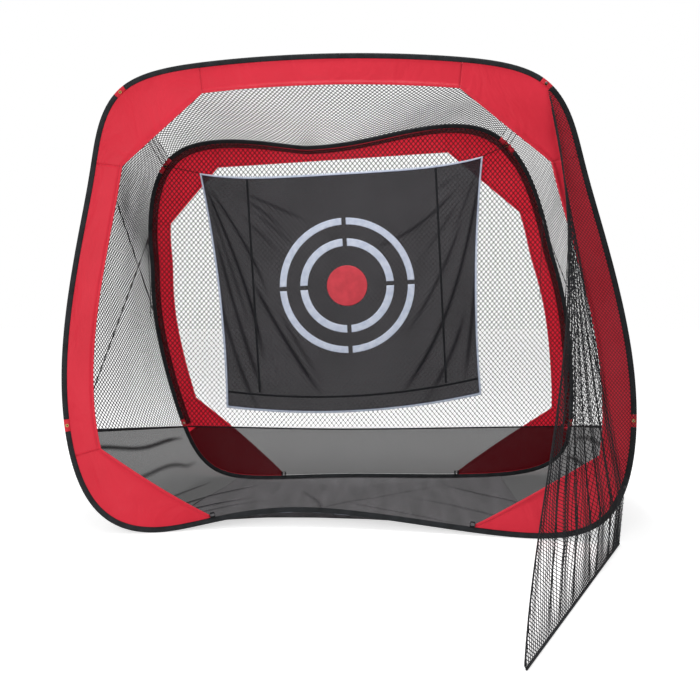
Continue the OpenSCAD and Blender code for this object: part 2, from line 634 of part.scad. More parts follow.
module floor_mesh() color(mesh_grey) sheet([for (s = inset_ends(stations(foot_s[0], foot_s[1]), seam_gap))
    [for (v = FLOOR) floor_point(s, v)]], mesh_t);

// ---- Net and skirt across the back hoop, before its panels ------------------
back_centre = [0, 0, 1000];
// How far the net stands before the panels, away from its edge
net_stand = 8;
EDGE_U = -half_w - 1;
skirt_left = place(BACK, skirt_top[0])[2];
skirt_right = place(BACK, skirt_top[1])[2];
function skirt_z(x) = lookup(x, [[place(BACK, skirt_top[0])[0], skirt_left],
                                 [place(BACK, skirt_top[1])[0], skirt_right]]);
function edge_point(s) = at(BACK, s, EDGE_U, -net_edge_w);
function towards(s, k) = let (p = edge_point(s), q = mix(p, back_centre, k))
    k == 0 ? p : filled(BACK, q, -net_stand);
// Share of the way to the centre at which the skirt ends, at s
function skirt_share(s) = let (p = edge_point(s)) (skirt_z(p[0] * 0.75) - p[2]) / (back_centre[2] - p[2]);
function in_skirt(s) = s > skirt_top[0] + TINY && s < skirt_top[1] - TINY;
net_rings = [0, 0.035, 0.12, 0.28, 0.6];
function net_start(s) = let (p = edge_point(s))
    in_skirt(s) ? max(skirt_share(s), 0) + 2 * clear / norm(p - back_centre) : 0;
module back_net() color(net_black) round_sheet(
    [for (k = net_rings) [for (s = grid) let (k0 = net_start(s))
        in_skirt(s) ? filled(BACK, mix(edge_point(s), back_centre, mix(k0, 1, k)), -net_stand)
        : towards(s, k)]],
    filled(BACK, back_centre, -net_stand), [0, net_t / 2, 0]);
skirt_list = [for (s = stations(skirt_top[0], skirt_top[1])) if (skirt_share(s) > 0.03) s];
module back_skirt() color(mesh_grey) sheet([for (s = skirt_list)
    [for (k = [0, 0.12, 0.25, 0.4, 0.6, 0.8, 1]) towards(s, k * skirt_share(s))]], mesh_t);

// ---- Corner cords and brace straps ------------------------------------------
cord_in = 10.5;
cord_seat = half_t + clear + 0.3;
function cord_end(h, i, w, t) = stretch_point(stretch(h, patch_span[i]), -cord_in, w, t);
module corner_cords() color(black) for (i = [0, 3], side = [-1, 1])
    cord([cord_end(FRONT, i, cord_seat, side * cord_pair / 2),
          cord_end(BACK, i, -cord_seat, side * cord_pair / 2)], cord_d);

// Strap anchors at the front and the back: upper left, lower left, lower right, upper right
front_anchor_s = [3.23, 5.58, 10.42, 12.77];
back_anchor_s = [for (t = [3.07, 5.1, 10.9, 12.93]) of_back(t)];
anchor_u = -half_w - 4;
// How far a strap's end face reaches along the hoop's axis, by its slant
opposite = [1, 0, 3, 2];
function slant(h, s, other, so) =
    let (run = unit(place(other, so) - place(h, s)), n = out(h, s), m = unit(n - run * (n * run)))
    abs(cross(run, m) * through(h, s)) * strap_w / 2 + abs(m * through(h, s)) * strap_t / 2;
front_anchor = [for (i = [0:3]) let (s = front_anchor_s[i])
    at(FRONT, s, anchor_u, panel_t / 2 + 2 * clear + slant(FRONT, s, BACK, back_anchor_s[opposite[i]]))];
back_anchor = [for (i = [0:3]) let (s = back_anchor_s[i])
    at(BACK, s, anchor_u, -net_edge_w - net_t / 2 - 4 * clear
       - slant(BACK, s, FRONT, front_anchor_s[opposite[i]]))];
// Strap k of a side runs from one front anchor to the other side's height at the back
strap_from = [[0, 1], [3, 2]];
strap_to = [[1, 0], [2, 3]];
function strap_end(side, k) = [front_anchor[strap_from[side][k]], back_anchor[strap_to[side][k]]];
function strap_run(side, k) = let (e = strap_end(side, k)) e[1] - e[0];
strap_normal = [for (side = [0, 1]) unit(cross(strap_run(side, 0), strap_run(side, 1)))];
function nearest(side, k) =
    let (a = strap_end(side, k)[0], c = strap_end(side, 1 - k)[0],
         d1 = strap_run(side, k), d2 = strap_run(side, 1 - k), n = cross(d1, d2))
    a + d1 * (cross(c - a, d2) * n) / (n * n);
// The straps pass each other flat, at least clear apart
function crossing(side, k) =
    let (half = (nearest(side, 1) - nearest(side, 0)) * strap_normal[side] / 2,
         stand = (half < 0 ? -1 : 1) * max(abs(half), strap_t / 2 + clear))
    (nearest(side, 0) + nearest(side, 1)) / 2 + strap_normal[side] * (2 * k - 1) * stand;
function ribbon_ring(p, t, n, w, thick) =
    let (m = unit(n - t * (n * t)), b = cross(t, m))
    [for (q = [[1, 1], [-1, 1], [-1, -1], [1, -1]]) p + q[0] * thick / 2 * m + q[1] * w / 2 * b];
module ribbon(points, n, w, thick) {
    m = len(points) - 1;
    loft([for (i = [0:m])
        ribbon_ring(points[i], unit(points[min(i + 1, m)] - points[max(i - 1, 0)]), n, w, thick)]);
}
module brace_straps() color(black) for (side = [0, 1], k = [0, 1])
    ribbon([strap_end(side, k)[0], crossing(side, k), strap_end(side, k)[1]],
           strap_normal[side], strap_w, strap_t);

// ---- Strap buckles ----------------------------------------------------------
buckle_wall = 2.4;
buckle_t = strap_t + 2 * clear + 2 * 1.6;
buckle_w = strap_w + 2 * clear + 2 * buckle_wall;
// The buckle's strap is the one that rises to the back
function buckle_dir(side) = unit(crossing(side, 1) - strap_end(side, 1)[1]);
function buckle_place(side) = strap_end(side, 1)[1] + buckle_at * buckle_dir(side);
module strap_buckle(side) {
    y = buckle_dir(side);
    n = strap_normal[side];
    z = unit(n - y * (n * y));
    x = cross(y, z);
    p = buckle_place(side);
    color(black) multmatrix([[x[0], y[0], z[0], p[0]], [x[1], y[1], z[1], p[1]],
                             [x[2], y[2], z[2], p[2]]]) difference() {
        cube([buckle_w, buckle_len, buckle_t], center = true);
        cube([strap_w + 2 * clear, 2 * buckle_len, strap_t + 2 * clear], center = true);
        for (k = [-1, 1]) translate([0, k * buckle_len / 4, 0])
            cube([strap_w + 2 * clear, buckle_len / 2 - 6, 2 * buckle_t], center = true);
    }
}
module left_buckle() strap_buckle(0);
module right_buckle() strap_buckle(1);
// Free tail of each strap, from under the buckle to its end
tail_points = [
    [[0, 0, 0], [0, -6, -30], [2, -10, -70], [4, -10, -120], [6, -8, -180], [8, -4, -240],
     [8, 0, -300], [8, 2, -360], [8, 2, -415]],
    [[0, 0, 0], [0, -6, -30], [-2, -10, -70], [-4, -10, -120], [-6, -8, -180], [-8, -4, -240],
     [-8, 0, -300], [-8, 2, -360], [-8, 2, -415]]
];
tail_off = buckle_t / 2 + clear + 0.2 + strap_t / 2;
function inside(side) = strap_normal[side] * (strap_normal[side] * [1 - 2 * side, 0, 0] > 0 ? 1 : -1);
function tail_start(side) = buckle_place(side) + tail_off * inside(side);
module strap_tail(side) color(black)
    ribbon([for (q = tail_points[side]) tail_start(side) + q], [1, 0, 0], strap_w, strap_t);
module left_strap_tail() strap_tail(0);
module right_strap_tail() strap_tail(1);

// ---- Target -----------------------------------------------------------------
tie_r = 1.4 * cord_d;
function tie(i) = stretch_point(stretch(BACK, patch_span[i]), -eyelet_in, -(flange_w + clear + tie_r));
tie_left = tie(0);
tie_right = tie(3);
tie_mid = (tie_left + tie_right) / 2;
tie_half = norm(tie_right - tie_left) / 2;
target_x = unit(tie_right - tie_left);
target_z = unit([0, 0, 1] - target_x * target_x[2]);
target_y = cross(target_z, target_x);
// Sets its children on the target: x along the ties, z up, y towards the back
module on_target(y = 0) {
    p = tie_mid + y * target_y;
    multmatrix([[target_x[0], target_y[0], target_z[0], p[0]],
                [target_x[1], target_y[1], target_z[1], p[1]],
                [target_x[2], target_y[2], target_z[2], p[2]]])
        children();
}
// Extrudes a flat shape, drawn in x and z, by t about its middle
module cloth(t) rotate([90, 0, 0]) linear_extrude(t, center = true) children();
function target_half(k, e) =
    mix(target_top_w, target_bottom_w, k) / 2 - 4 * target_waist * k * (1 - k) - e;
function top_z(q) = -target_drop - target_sag * (1 - pow(q, 4));
function bottom_z_at(q) = -target_drop - target_h - target_belly * (1 - q * q);
function outline(e) = concat(
    [for (q = [-1:0.125:0.99]) [target_shift + q * target_half(0, e), top_z(q) - e]],
    [for (k = [0:0.125:0.99]) [target_shift + target_half(k, e), mix(-target_drop - e,
        -target_drop - target_h + e, k)]],
    [for (q = [1:-0.125:-0.99]) [target_shift + q * target_half(1, e), bottom_z_at(q) + e]],
    [for (k = [1:-0.125:0.01]) [target_shift - target_half(k, e), mix(-target_drop - e,
        -target_drop - target_h + e, k)]]);
module target_sheet() color(net_black) on_target() cloth(target_t) polygon(outline(binding_w + clear));
module target_binding() color(print_grey) on_target() cloth(binding_t) difference() {
    polygon(outline(0));
    polygon(outline(binding_w));
}
print_y = -(target_t / 2 + clear + print_t / 2);
ring_z = -target_drop - ring_drop;
module broken_ring(r, w) on_target(print_y) translate([target_shift, 0, ring_z]) cloth(print_t)
    difference() {
        circle(r);
        circle(r - w);
        for (a = [0, 90]) rotate(a) square([3 * r, ring_gap], center = true);
    }
module target_large_ring() color(print_grey) broken_ring(ring_r, ring_w);
module target_small_ring() color(print_grey) broken_ring(small_ring_r, small_ring_w);
module target_bullseye() color(red)
    on_target(print_y) translate([target_shift, 0, ring_z]) cloth(print_t) circle(bull_r);
seam_end = binding_w + 2;
seam_x = target_half(0.5, 0) - seam_in;
seam_top = top_z(seam_x / target_half(0, 0)) - seam_end - 2;
seam_low = bottom_z_at(seam_x / target_half(1, 0)) + seam_up + seam_w / 2 + 2;
module target_seams() color(black) on_target(-print_y) {
    for (side = [-1, 1]) cloth(print_t) translate([target_shift + side * seam_x, 0])
        polygon([[-seam_w / 2, seam_top], [seam_w / 2, seam_top],
                 [seam_w / 2, seam_low], [-seam_w / 2, seam_low]]);
    cloth(print_t) polygon(concat(
        [for (q = [-1:0.125:1]) [target_shift + q * target_half(0.9, seam_end),
            bottom_z_at(q) + seam_up]],
        [for (q = [1:-0.125:-1]) [target_shift + q * target_half(0.9, seam_end),
            bottom_z_at(q) + seam_up - seam_w]]));
}
// The knot at the head of a tie: places along it and radii, in shares of its radius
tie_knot = [[-1, 0.3], [-0.5, 0.87], [0, 1], [0.5, 0.87], [0.94, cord_d / 2 / tie_r]];
module target_ties() color(black) for (side = [-1, 1]) {
    start = tie_mid + side * tie_half * target_x;
    corner = tie_mid + (target_shift + side * target_half(0, 0)) * target_x - target_drop * target_z;
    run = unit(corner - start);
    loft([for (q = tie_knot) ring8(start + q[0] * tie_r * run, run, 2 * tie_r * q[1]),
          ring8(corner - run * (clear + 0.2), run, cord_d)]);
}

// ---- Wing net ---------------------------------------------------------------
toggle_r = 6;
wing_top = stretch_point(stretch(FRONT, patch_span[3]), -eyelet_in, -(flange_w + clear + toggle_r));
wing_foot = at(FRONT, wing_foot_s, 0, -(half_t + clear + toggle_r));
// The wing's heel on the ground stands this far inwards and forwards from the foot
heel_in = 34;
heel_forward = 50;
wing_heel = [wing_foot[0] - heel_in, wing_foot[1] - heel_forward, wing_cord_d / 2 + 0.2];
wing_tip = [wing_tip_x, -foot_gap / 2 - wing_reach, wing_cord_d / 2 + 0.2];
// Front edge of the wing: it hangs from the top eyelet and runs out to the tip
edge_frame = [wing_top, mix(wing_top, wing_tip, 0.36) + [300, 228, -202],
              mix(wing_top, wing_tip, 0.72) + [124, 602, -306], wing_tip];
function bezier(p, k) = p[0] * pow(1 - k, 3) + 3 * p[1] * k * pow(1 - k, 2)
    + 3 * p[2] * k * k * (1 - k) + p[3] * pow(k, 3);
KNEE = 0.85;
function wing_rear(v) = v < KNEE ? mix(wing_top, wing_foot, v / KNEE)
    : mix(wing_foot, wing_heel, (v - KNEE) / (1 - KNEE));
function inner(a, b, d) = a + unit(b - a) * d;
wing_rows = [0.06, each [0.1:0.05:0.96]];
cord_stand = wing_cord_d / 2 + clear + 0.2;
// The net's front edge lies beside the front cord, towards a
function beside_cord(k, a) =
    let (b = bezier(edge_frame, k), t = unit(bezier(edge_frame, k + 0.01) - b), d = a - b)
    b + cord_stand * unit(d - t * (d * t));
// How far the net's hem ends before the tip
hem_short = 70;
hem_row = [wing_heel, inner(wing_tip, wing_heel, hem_short)];
// The net's rear edge stands off the line of attachment, and further off the foot's toggle
wing_gap = 1.8;
function rear_gap(v) = abs(v - KNEE) < 0.01 ? toggle_r + 2 * clear : wing_gap;
function wing_row(a, b, gap) = [for (j = [0:4]) mix(inner(a, b, gap), b, j / 4)];
module wing_net() color(net_black) sheet(concat(
    [for (v = wing_rows) wing_row(wing_rear(v), beside_cord(v, wing_rear(v)), rear_gap(v))],
    [wing_row(hem_row[0] + [0, 0, cord_stand + 0.4], hem_row[1] + [0, 0, cord_stand + 0.4], wing_gap)]),
    net_t);
strip_w = flange_w + clear + net_t / 2;
strip_list = [for (s = stations(wing_foot_s, 14)) if (s < patch_span[3][0] && s > wing_foot_s + 0.06) s];
module wing_edge_strip() color(net_black) sheet([for (s = strip_list)
    let (p = at(FRONT, s, 5, -strip_w),
         k = min(max((wing_top[2] - p[2]) / (wing_top[2] - wing_foot[2]), 0.02), 0.98),
         q = mix(wing_top, wing_foot, k))
    [at(FRONT, s, 10, -(half_t + clear + net_t / 2)), p, inner(q, p, wing_gap)]], net_t);
module wing_front_cord() color(black)
    cord(concat([inner(wing_top, bezier(edge_frame, 0.05), toggle_r + clear)],
                [for (k = wing_rows) bezier(edge_frame, k)], [bezier(edge_frame, 0.99)]),
         wing_cord_d);
module wing_hem_cord() color(black)
    cord([for (k = [0:0.1:1]) mix(wing_heel, inner(wing_tip, wing_heel, 16), k)], wing_cord_d);
module wing_toggles() color(black) for (p = [wing_top, wing_foot]) translate(p) sphere(toggle_r, $fn = 20);

// ---- Sub-part modules -------------------------------------------------------
module front_steel_hoop() steel_hoop(FRONT);
module front_hoop_ferrule() ferrule(FRONT);
module front_sleeve_top() sleeve(FRONT, 0);
module front_sleeve_left() sleeve(FRONT, 1);
module front_sleeve_bottom() sleeve(FRONT, 2);
module front_sleeve_right() sleeve(FRONT, 3);
module front_band_top() band_top(FRONT);
module front_band_left() band_left(FRONT);
module front_band_right() band_right(FRONT);
module front_corner_top_left() corner_top_left(FRONT);
module front_corner_top_right() corner_top_right(FRONT);
module front_corner_bottom_left() corner_bottom_left(FRONT);
module front_corner_bottom_right() corner_bottom_right(FRONT);
module front_eyelet_patches() eyelet_patches(FRONT);
module front_eyelets() eyelets(FRONT);
module front_peg_loops() peg_loops(FRONT);
module back_steel_hoop() steel_hoop(BACK);
module back_hoop_ferrule() ferrule(BACK);
module back_sleeve_top() sleeve(BACK, 0);
module back_sleeve_left() sleeve(BACK, 1);
module back_sleeve_bottom() sleeve(BACK, 2);
module back_sleeve_right() sleeve(BACK, 3);
module back_band_top() band_top(BACK);
module back_band_left() band_left(BACK);
module back_band_right() band_right(BACK);
module back_corner_top_left() corner_top_left(BACK);
module back_corner_top_right() corner_top_right(BACK);
module back_corner_bottom_left() corner_bottom_left(BACK);
module back_corner_bottom_right() corner_bottom_right(BACK);
module back_eyelet_patches() eyelet_patches(BACK);
module back_eyelets() eyelets(BACK);
module back_peg_loops() peg_loops(BACK);

front_steel_hoop();
front_hoop_ferrule();
front_sleeve_top();
front_sleeve_left();
front_sleeve_bottom();
front_sleeve_right();
front_band_top();
front_band_left();
front_band_right();
front_corner_top_left();
front_corner_top_right();
front_corner_bottom_left();
front_corner_bottom_right();
front_eyelet_patches();
front_eyelets();
front_peg_loops();
back_steel_hoop();
back_hoop_ferrule();
back_sleeve_top();
back_sleeve_left();
back_sleeve_bottom();
back_sleeve_right();
back_band_top();
back_band_left();
back_band_right();
back_corner_top_left();
back_corner_top_right();
back_corner_bottom_left();
back_corner_bottom_right();
back_eyelet_patches();
back_eyelets();
back_peg_loops();
roof_net();
left_side_net();
right_side_net();
back_net();
floor_mesh();
left_skirt();
right_skirt();
back_skirt();
corner_cords();
brace_straps();
left_buckle();
right_buckle();
left_strap_tail();
right_strap_tail();
target_sheet();
target_binding();
target_large_ring();
target_small_ring();
target_bullseye();
target_seams();
target_ties();
wing_net();
wing_edge_strip();
wing_front_cord();
wing_hem_cord();
wing_toggles();
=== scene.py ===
"""Looks of a pop-up golf practice net: two sprung hoops, a netted tunnel, a target and a wing net."""

import math

import bmesh
import bpy
import numpy as np
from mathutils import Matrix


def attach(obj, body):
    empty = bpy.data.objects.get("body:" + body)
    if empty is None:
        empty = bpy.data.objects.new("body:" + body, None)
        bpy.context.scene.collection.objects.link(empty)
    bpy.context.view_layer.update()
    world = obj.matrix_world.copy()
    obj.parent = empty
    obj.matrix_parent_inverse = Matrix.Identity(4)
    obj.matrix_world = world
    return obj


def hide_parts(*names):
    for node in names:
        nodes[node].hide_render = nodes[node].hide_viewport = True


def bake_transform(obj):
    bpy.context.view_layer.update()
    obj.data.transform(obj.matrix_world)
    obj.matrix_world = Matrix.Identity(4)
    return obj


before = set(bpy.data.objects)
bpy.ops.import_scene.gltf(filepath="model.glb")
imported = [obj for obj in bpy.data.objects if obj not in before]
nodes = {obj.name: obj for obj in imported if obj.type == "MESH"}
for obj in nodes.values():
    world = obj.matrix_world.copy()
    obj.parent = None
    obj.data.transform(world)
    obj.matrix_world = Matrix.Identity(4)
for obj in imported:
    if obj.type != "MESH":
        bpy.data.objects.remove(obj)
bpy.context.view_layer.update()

# ---- Camera, floor and lamps ------------------------------------------------
# The camera stands before the mouth at chest height and looks slightly down and left.
# A white sweep and soft lamps light the net, the stronger one from the left and one from above.
IMAGE_SIZE = 700
FOCAL_PIXELS = 787
CAMERA_DOWN, CAMERA_LEFT = 3.13, 1.96
AMBIENT = 0.52
FLOOR_GLOW = 0.58
camera_data = bpy.data.cameras.new("camera")
camera_data.sensor_width = 36
camera_data.lens = 36 * FOCAL_PIXELS / IMAGE_SIZE


def new_object(name, data):
    piece = bpy.data.objects.new(name, data)
    bpy.context.scene.collection.objects.link(piece)
    return piece


camera = new_object("camera", camera_data)
camera.location = (0.113, -3.915, 0.974)
camera.rotation_euler = (math.radians(90 - CAMERA_DOWN), 0, math.radians(CAMERA_LEFT))
bpy.context.scene.camera = camera
bpy.context.scene.view_settings.view_transform = "Standard"


def add(tree, kind, inputs=None, **settings):
    """A node of that kind, with values or sockets on its inputs."""
    node = tree.nodes.new(kind)
    for name, value in settings.items():
        setattr(node, name, value)
    for name, value in (inputs or {}).items():
        if isinstance(value, bpy.types.NodeSocket):
            tree.links.new(value, node.inputs[name])
        else:
            node.inputs[name].default_value = value
    return node


def background_rays(tree):
    """1 for the rays that see the sweep itself, in the picture, a gloss or a clear piece."""
    path = add(tree, "ShaderNodeLightPath")
    seen = path.outputs["Is Camera Ray"]
    for other in ("Is Glossy Ray", "Is Transmission Ray"):
        seen = add(tree, "ShaderNodeMath", {0: seen, 1: path.outputs[other]}, operation="MAXIMUM").outputs[0]
    return seen


world = bpy.data.worlds.new("studio")
bpy.context.scene.world = world
world.use_nodes = True
sky = world.node_tree
sky.nodes.clear()
ambient = add(sky, "ShaderNodeBackground", {"Color": (1, 1, 1, 1), "Strength": AMBIENT})
paper = add(sky, "ShaderNodeBackground", {"Color": (1, 1, 1, 1), "Strength": 1})
sky_mix = add(sky, "ShaderNodeMixShader", {0: background_rays(sky), 1: ambient.outputs[0],
                                           2: paper.outputs[0]})
add(sky, "ShaderNodeOutputWorld", {"Surface": sky_mix.outputs[0]})


def lamp(name, place, aim, size, watts):
    """A square soft lamp that faces a point."""
    data = bpy.data.lights.new(name, "AREA")
    data.size = size
    data.energy = watts
    light = new_object(name, data)
    light.location = place
    towards = np.array(aim, float) - np.array(place, float)
    yaw = math.atan2(towards[1], towards[0]) - math.pi / 2
    pitch = math.atan2(towards[2], math.hypot(towards[0], towards[1]))
    light.rotation_euler = (math.pi / 2 + pitch, 0, yaw)


lamp("key_lamp", (-2.6, -6.0, 2.5), (0, 0.3, 1.2), 3.0, 150)
lamp("fill_lamp", (2.4, -6.2, 1.8), (0, 0.3, 1.0), 3.5, 42)
lamp("top_lamp", (0, 0.02, 3.6), (0, 0.5, 0.9), 1.2, 60)

FLOOR_HALF = 30
floor_mesh_data = bpy.data.meshes.new("studio_floor")
floor_mesh_data.from_pydata([(x * FLOOR_HALF, y * FLOOR_HALF, -0.0006) for x, y in
                             ((-1, -1), (1, -1), (1, 1), (-1, 1))], [], [(0, 1, 2, 3)])
studio_floor = new_object("studio_floor", floor_mesh_data)
floor_paper = bpy.data.materials.new("white_sweep")
floor_paper.use_nodes = True
sweep = floor_paper.node_tree
sweep.nodes.clear()
matt = add(sweep, "ShaderNodeBsdfDiffuse", {"Color": (0.86, 0.86, 0.86, 1)})
glow = add(sweep, "ShaderNodeEmission", {"Color": (1, 1, 1, 1), "Strength": FLOOR_GLOW})
lifted = add(sweep, "ShaderNodeAddShader", {0: matt.outputs[0], 1: glow.outputs[0]})
sweep_mix = add(sweep, "ShaderNodeMixShader", {0: background_rays(sweep), 1: matt.outputs[0],
                                               2: lifted.outputs[0]})
add(sweep, "ShaderNodeOutputMaterial", {"Surface": sweep_mix.outputs[0]})
floor_mesh_data.materials.append(floor_paper)

# ---- Strap tails ------------------------------------------------------------
# The free end of the brace strap's webbing hangs limp from the buckle on each side.
# It is flat black polypropylene webbing, its end folded over and sewn.
STRAP_W = 0.010
STRAP_T = 0.0015
TAIL_START = ((-1.15221, 0.42242, 1.33553), (1.01838, 0.461409, 1.43085))
TAIL_FALL = ((0, 0, 0), (0, -0.006, -0.030), (0.002, -0.010, -0.070), (0.004, -0.010, -0.120),
             (0.006, -0.008, -0.180), (0.008, -0.004, -0.240), (0.008, 0, -0.300),
             (0.008, 0.002, -0.360), (0.008, 0.002, -0.415))
FOLD_LENGTH, FOLD_THICK = 0.014, 1.8


def dye(red, green, blue):
    """A screen colour, from 0 to 255, as the linear colour of a material."""
    shares = [v / 255 for v in (red, green, blue)]
    return tuple(v / 12.92 if v < 0.04045 else ((v + 0.055) / 1.055) ** 2.4 for v in shares) + (1,)


def cut_place(tree):
    """Metres along and across the piece as it was cut, from its own map."""
    return add(tree, "ShaderNodeUVMap", uv_map="cut").outputs["UV"]


def object_place(tree):
    return add(tree, "ShaderNodeTexCoord").outputs["Object"]


def shader_of(finish):
    return finish.node_tree.nodes["Principled BSDF"]


def weave(finish, spot, pitch, depth, turn=0):
    """Over-and-under threads, pitch apart and turned by degrees, as relief."""
    tree = finish.node_tree
    angle = math.radians(turn)
    turned = add(tree, "ShaderNodeMapping", {"Vector": spot(tree), "Rotation": (angle, 0, angle)})
    waves = [add(tree, "ShaderNodeTexWave", {"Vector": turned.outputs[0], "Scale": math.pi / 10 / pitch},
                 bands_direction=axis) for axis in "XY"]
    over = add(tree, "ShaderNodeMath", {0: waves[0].outputs["Fac"], 1: waves[1].outputs["Fac"]},
               operation="MULTIPLY")
    relief = add(tree, "ShaderNodeBump", {"Height": over.outputs[0], "Distance": depth, "Strength": 0.6})
    tree.links.new(relief.outputs["Normal"], shader_of(finish).inputs["Normal"])


def dyed(name, roughness, first, second, scale, detail=3.0, spot=object_place, woven=None,
         weave_spot=cut_place, **sockets):
    """A material, uneven between two dyes in patches of 1/scale metres, with a weave where one is given."""
    finish = bpy.data.materials.new(name)
    finish.use_nodes = True
    tree, shader = finish.node_tree, shader_of(finish)
    for socket, value in {"Roughness": roughness, **sockets}.items():
        shader.inputs[socket.replace("_", " ")].default_value = value
    patches = add(tree, "ShaderNodeTexNoise", {"Vector": spot(tree), "Scale": scale, "Detail": detail})
    ramp = add(tree, "ShaderNodeValToRGB", {"Fac": patches.outputs["Fac"]})
    for stop, position, tone in zip(ramp.color_ramp.elements, (0.35, 0.65), (first, second)):
        stop.position = position
        stop.color = dye(*tone)
    tree.links.new(ramp.outputs["Color"], shader.inputs["Base Color"])
    if woven:
        weave(finish, weave_spot, *woven)
    return finish


def creases(finish, scale, depth, stretch):
    """Soft creases as relief under the weave, scale of them to a metre, drawn out by stretch."""
    tree = finish.node_tree
    drawn = add(tree, "ShaderNodeMapping", {"Vector": object_place(tree), "Scale": stretch})
    folds = add(tree, "ShaderNodeTexNoise", {"Vector": drawn.outputs[0], "Scale": scale, "Detail": 3.0,
                                             "Distortion": 1.2})
    relief = add(tree, "ShaderNodeBump", {"Height": folds.outputs["Fac"], "Distance": depth, "Strength": 0.5})
    fine = shader_of(finish).inputs["Normal"].links[0].from_node
    tree.links.new(relief.outputs["Normal"], fine.inputs["Normal"])


webbing = dyed("black_webbing", 0.8, (20, 21, 23), (32, 33, 36), 60, spot=cut_place,
               woven=(0.0016, 0.0004, 45), Specular_IOR_Level=0.18)


def smooth_path(points, steps=6):
    """A curve through the points, with steps between each two."""
    p = np.array(points, float)
    p = np.vstack([2 * p[0] - p[1], p, 2 * p[-1] - p[-2]])
    out = []
    for i in range(1, len(p) - 2):
        for u in np.arange(steps) / steps:
            out.append(0.5 * (2 * p[i] + (p[i + 1] - p[i - 1]) * u
                              + (2 * p[i - 1] - 5 * p[i] + 4 * p[i + 1] - p[i + 2]) * u ** 2
                              + (3 * p[i] - p[i - 1] - 3 * p[i + 1] + p[i + 2]) * u ** 3))
    return np.array(out + [p[-2]])


def unit(v):
    return v / np.linalg.norm(v, axis=-1, keepdims=True)


def lengths(points, axis=0):
    """Distance along a row of points, from its first."""
    steps = np.linalg.norm(np.diff(points, axis=axis), axis=-1)
    start = np.zeros_like(np.take(steps, [0], axis=axis))
    return np.concatenate([start, np.cumsum(steps, axis=axis)], axis=axis)


def build(name, points, faces, corners, finish, closed=True):
    """An object from points and faces, with metres along and across at each face corner."""
    mesh = bpy.data.meshes.new(name)
    mesh.from_pydata(points.reshape(-1, 3).tolist(), [], faces)
    mesh.uv_layers.new(name="cut").data.foreach_set("uv", np.array(corners, np.float32).ravel())
    if closed:
        shell = bmesh.new()
        shell.from_mesh(mesh)
        bmesh.ops.recalc_face_normals(shell, faces=shell.faces)
        shell.to_mesh(mesh)
        shell.free()
    mesh.shade_smooth()
    mesh.materials.append(finish)
    return new_object(name, mesh)


def tube(name, rings, finish, looped=False):
    """A closed skin through rings of points, each ring closed, with flat ends or looped."""
    m, n = rings.shape[:2]
    along = lengths(rings.mean(axis=1))
    around = lengths(np.concatenate([rings[:1], rings[:1, :1]], axis=1)[0])
    faces, corners = [], []
    for i in range(m if looped else m - 1):
        far = (i + 1) % m
        top = along[i + 1] if i + 1 < m else along[-1] + np.linalg.norm(rings[0].mean(0) - rings[-1].mean(0))
        for j in range(n):
            k = (j + 1) % n
            faces.append((i * n + j, i * n + k, far * n + k, far * n + j))
            low, high = around[j], around[j + 1]
            corners += [(along[i], low), (along[i], high), (top, high), (top, low)]
    if not looped:
        for i in (0, m - 1):
            faces.append(tuple(i * n + j for j in range(n)))
            corners += [(along[i], around[j]) for j in range(n)]
    return build(name, rings, faces, corners, finish)


def band_outline(shoulder, rim):
    """The section of a band 1 wide and 1 thick, with its corners cut off from shoulder to rim."""
    return np.array([(0.5, rim), (0.5, -rim), (shoulder, -0.5), (-shoulder, -0.5), (-0.5, -rim), (-0.5, rim),
                     (-shoulder, 0.5), (shoulder, 0.5)])


def flat_rings(path, normal, width, thick):
    """Rings of a flat band along a path; thick may change along it."""
    path = np.asarray(path, float)
    run = unit(np.gradient(path, axis=0))
    normal = np.broadcast_to(np.asarray(normal, float), run.shape)
    up = unit(normal - run * (normal * run).sum(-1, keepdims=True))
    side = np.cross(run, up)
    outline = band_outline(0.44, 0.25)
    thick = np.broadcast_to(thick, (len(path),))
    return (path[:, None] + outline[None, :, :1] * width * side[:, None]
            + outline[None, :, 1:] * thick[:, None, None] * up[:, None])


for side, name, mirror in ((0, "left", 1), (1, "right", -1)):
    tail_path = smooth_path([np.array(TAIL_START[side]) + np.array(p) * (mirror, 1, 1) for p in TAIL_FALL])
    run = lengths(tail_path)
    tail_thick = np.where(run > run[-1] - FOLD_LENGTH, FOLD_THICK, 1.0) * STRAP_T
    tail = tube(name + "_tail_webbing", flat_rings(tail_path, (1, 0, 0), STRAP_W, tail_thick), webbing)
    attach(tail, name + "_buckle")
    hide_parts(name + "_strap_tail")

# ---- Sleeves and steel ------------------------------------------------------
# Each hoop is one closed strip of blued spring steel in four lengths of folded black tape.
# The tape is sewn shut along its inner edge, over the edge of the red panels.
FRONT, BACK = 0, 1
TURN = 16
# Each hoop is a smooth curve in a frame of straight bends: x and z of its left half, from crown to foot
HALF_FRAME = (
    ((0.560, 2.055), (0.970, 1.990), (1.060, 1.690), (1.070, 1.550), (1.260, 0.735), (1.175, 0.080),
     (0.830, -0.045)),
    ((0.140, 1.851), (0.955, 2.011), (1.120, 1.420), (1.112, 1.260), (1.185, 0.958), (1.138, 0.265),
     (1.002, -0.068)),
)
# The frame's height at the top's middle and in full, and how far each hoop leans, racks, rises and toes
MID_H = (2.082, 1.858)
FULL_H = (2.082, 1.9345)
DIP_X = (0, -0.150)
LEAN = (0.270, 0.130)
RACK_TOP = (-0.098, -0.153)
RACK_BASE = (0, 0.176)
RISE = (0.020 / 1.940, 0.118 / 1.910)
TOE = (-0.048 / 2.350, 0.156 / 2.276)
FOOT_Y = (-0.640, 0.640)
INWARD = (1, -1)
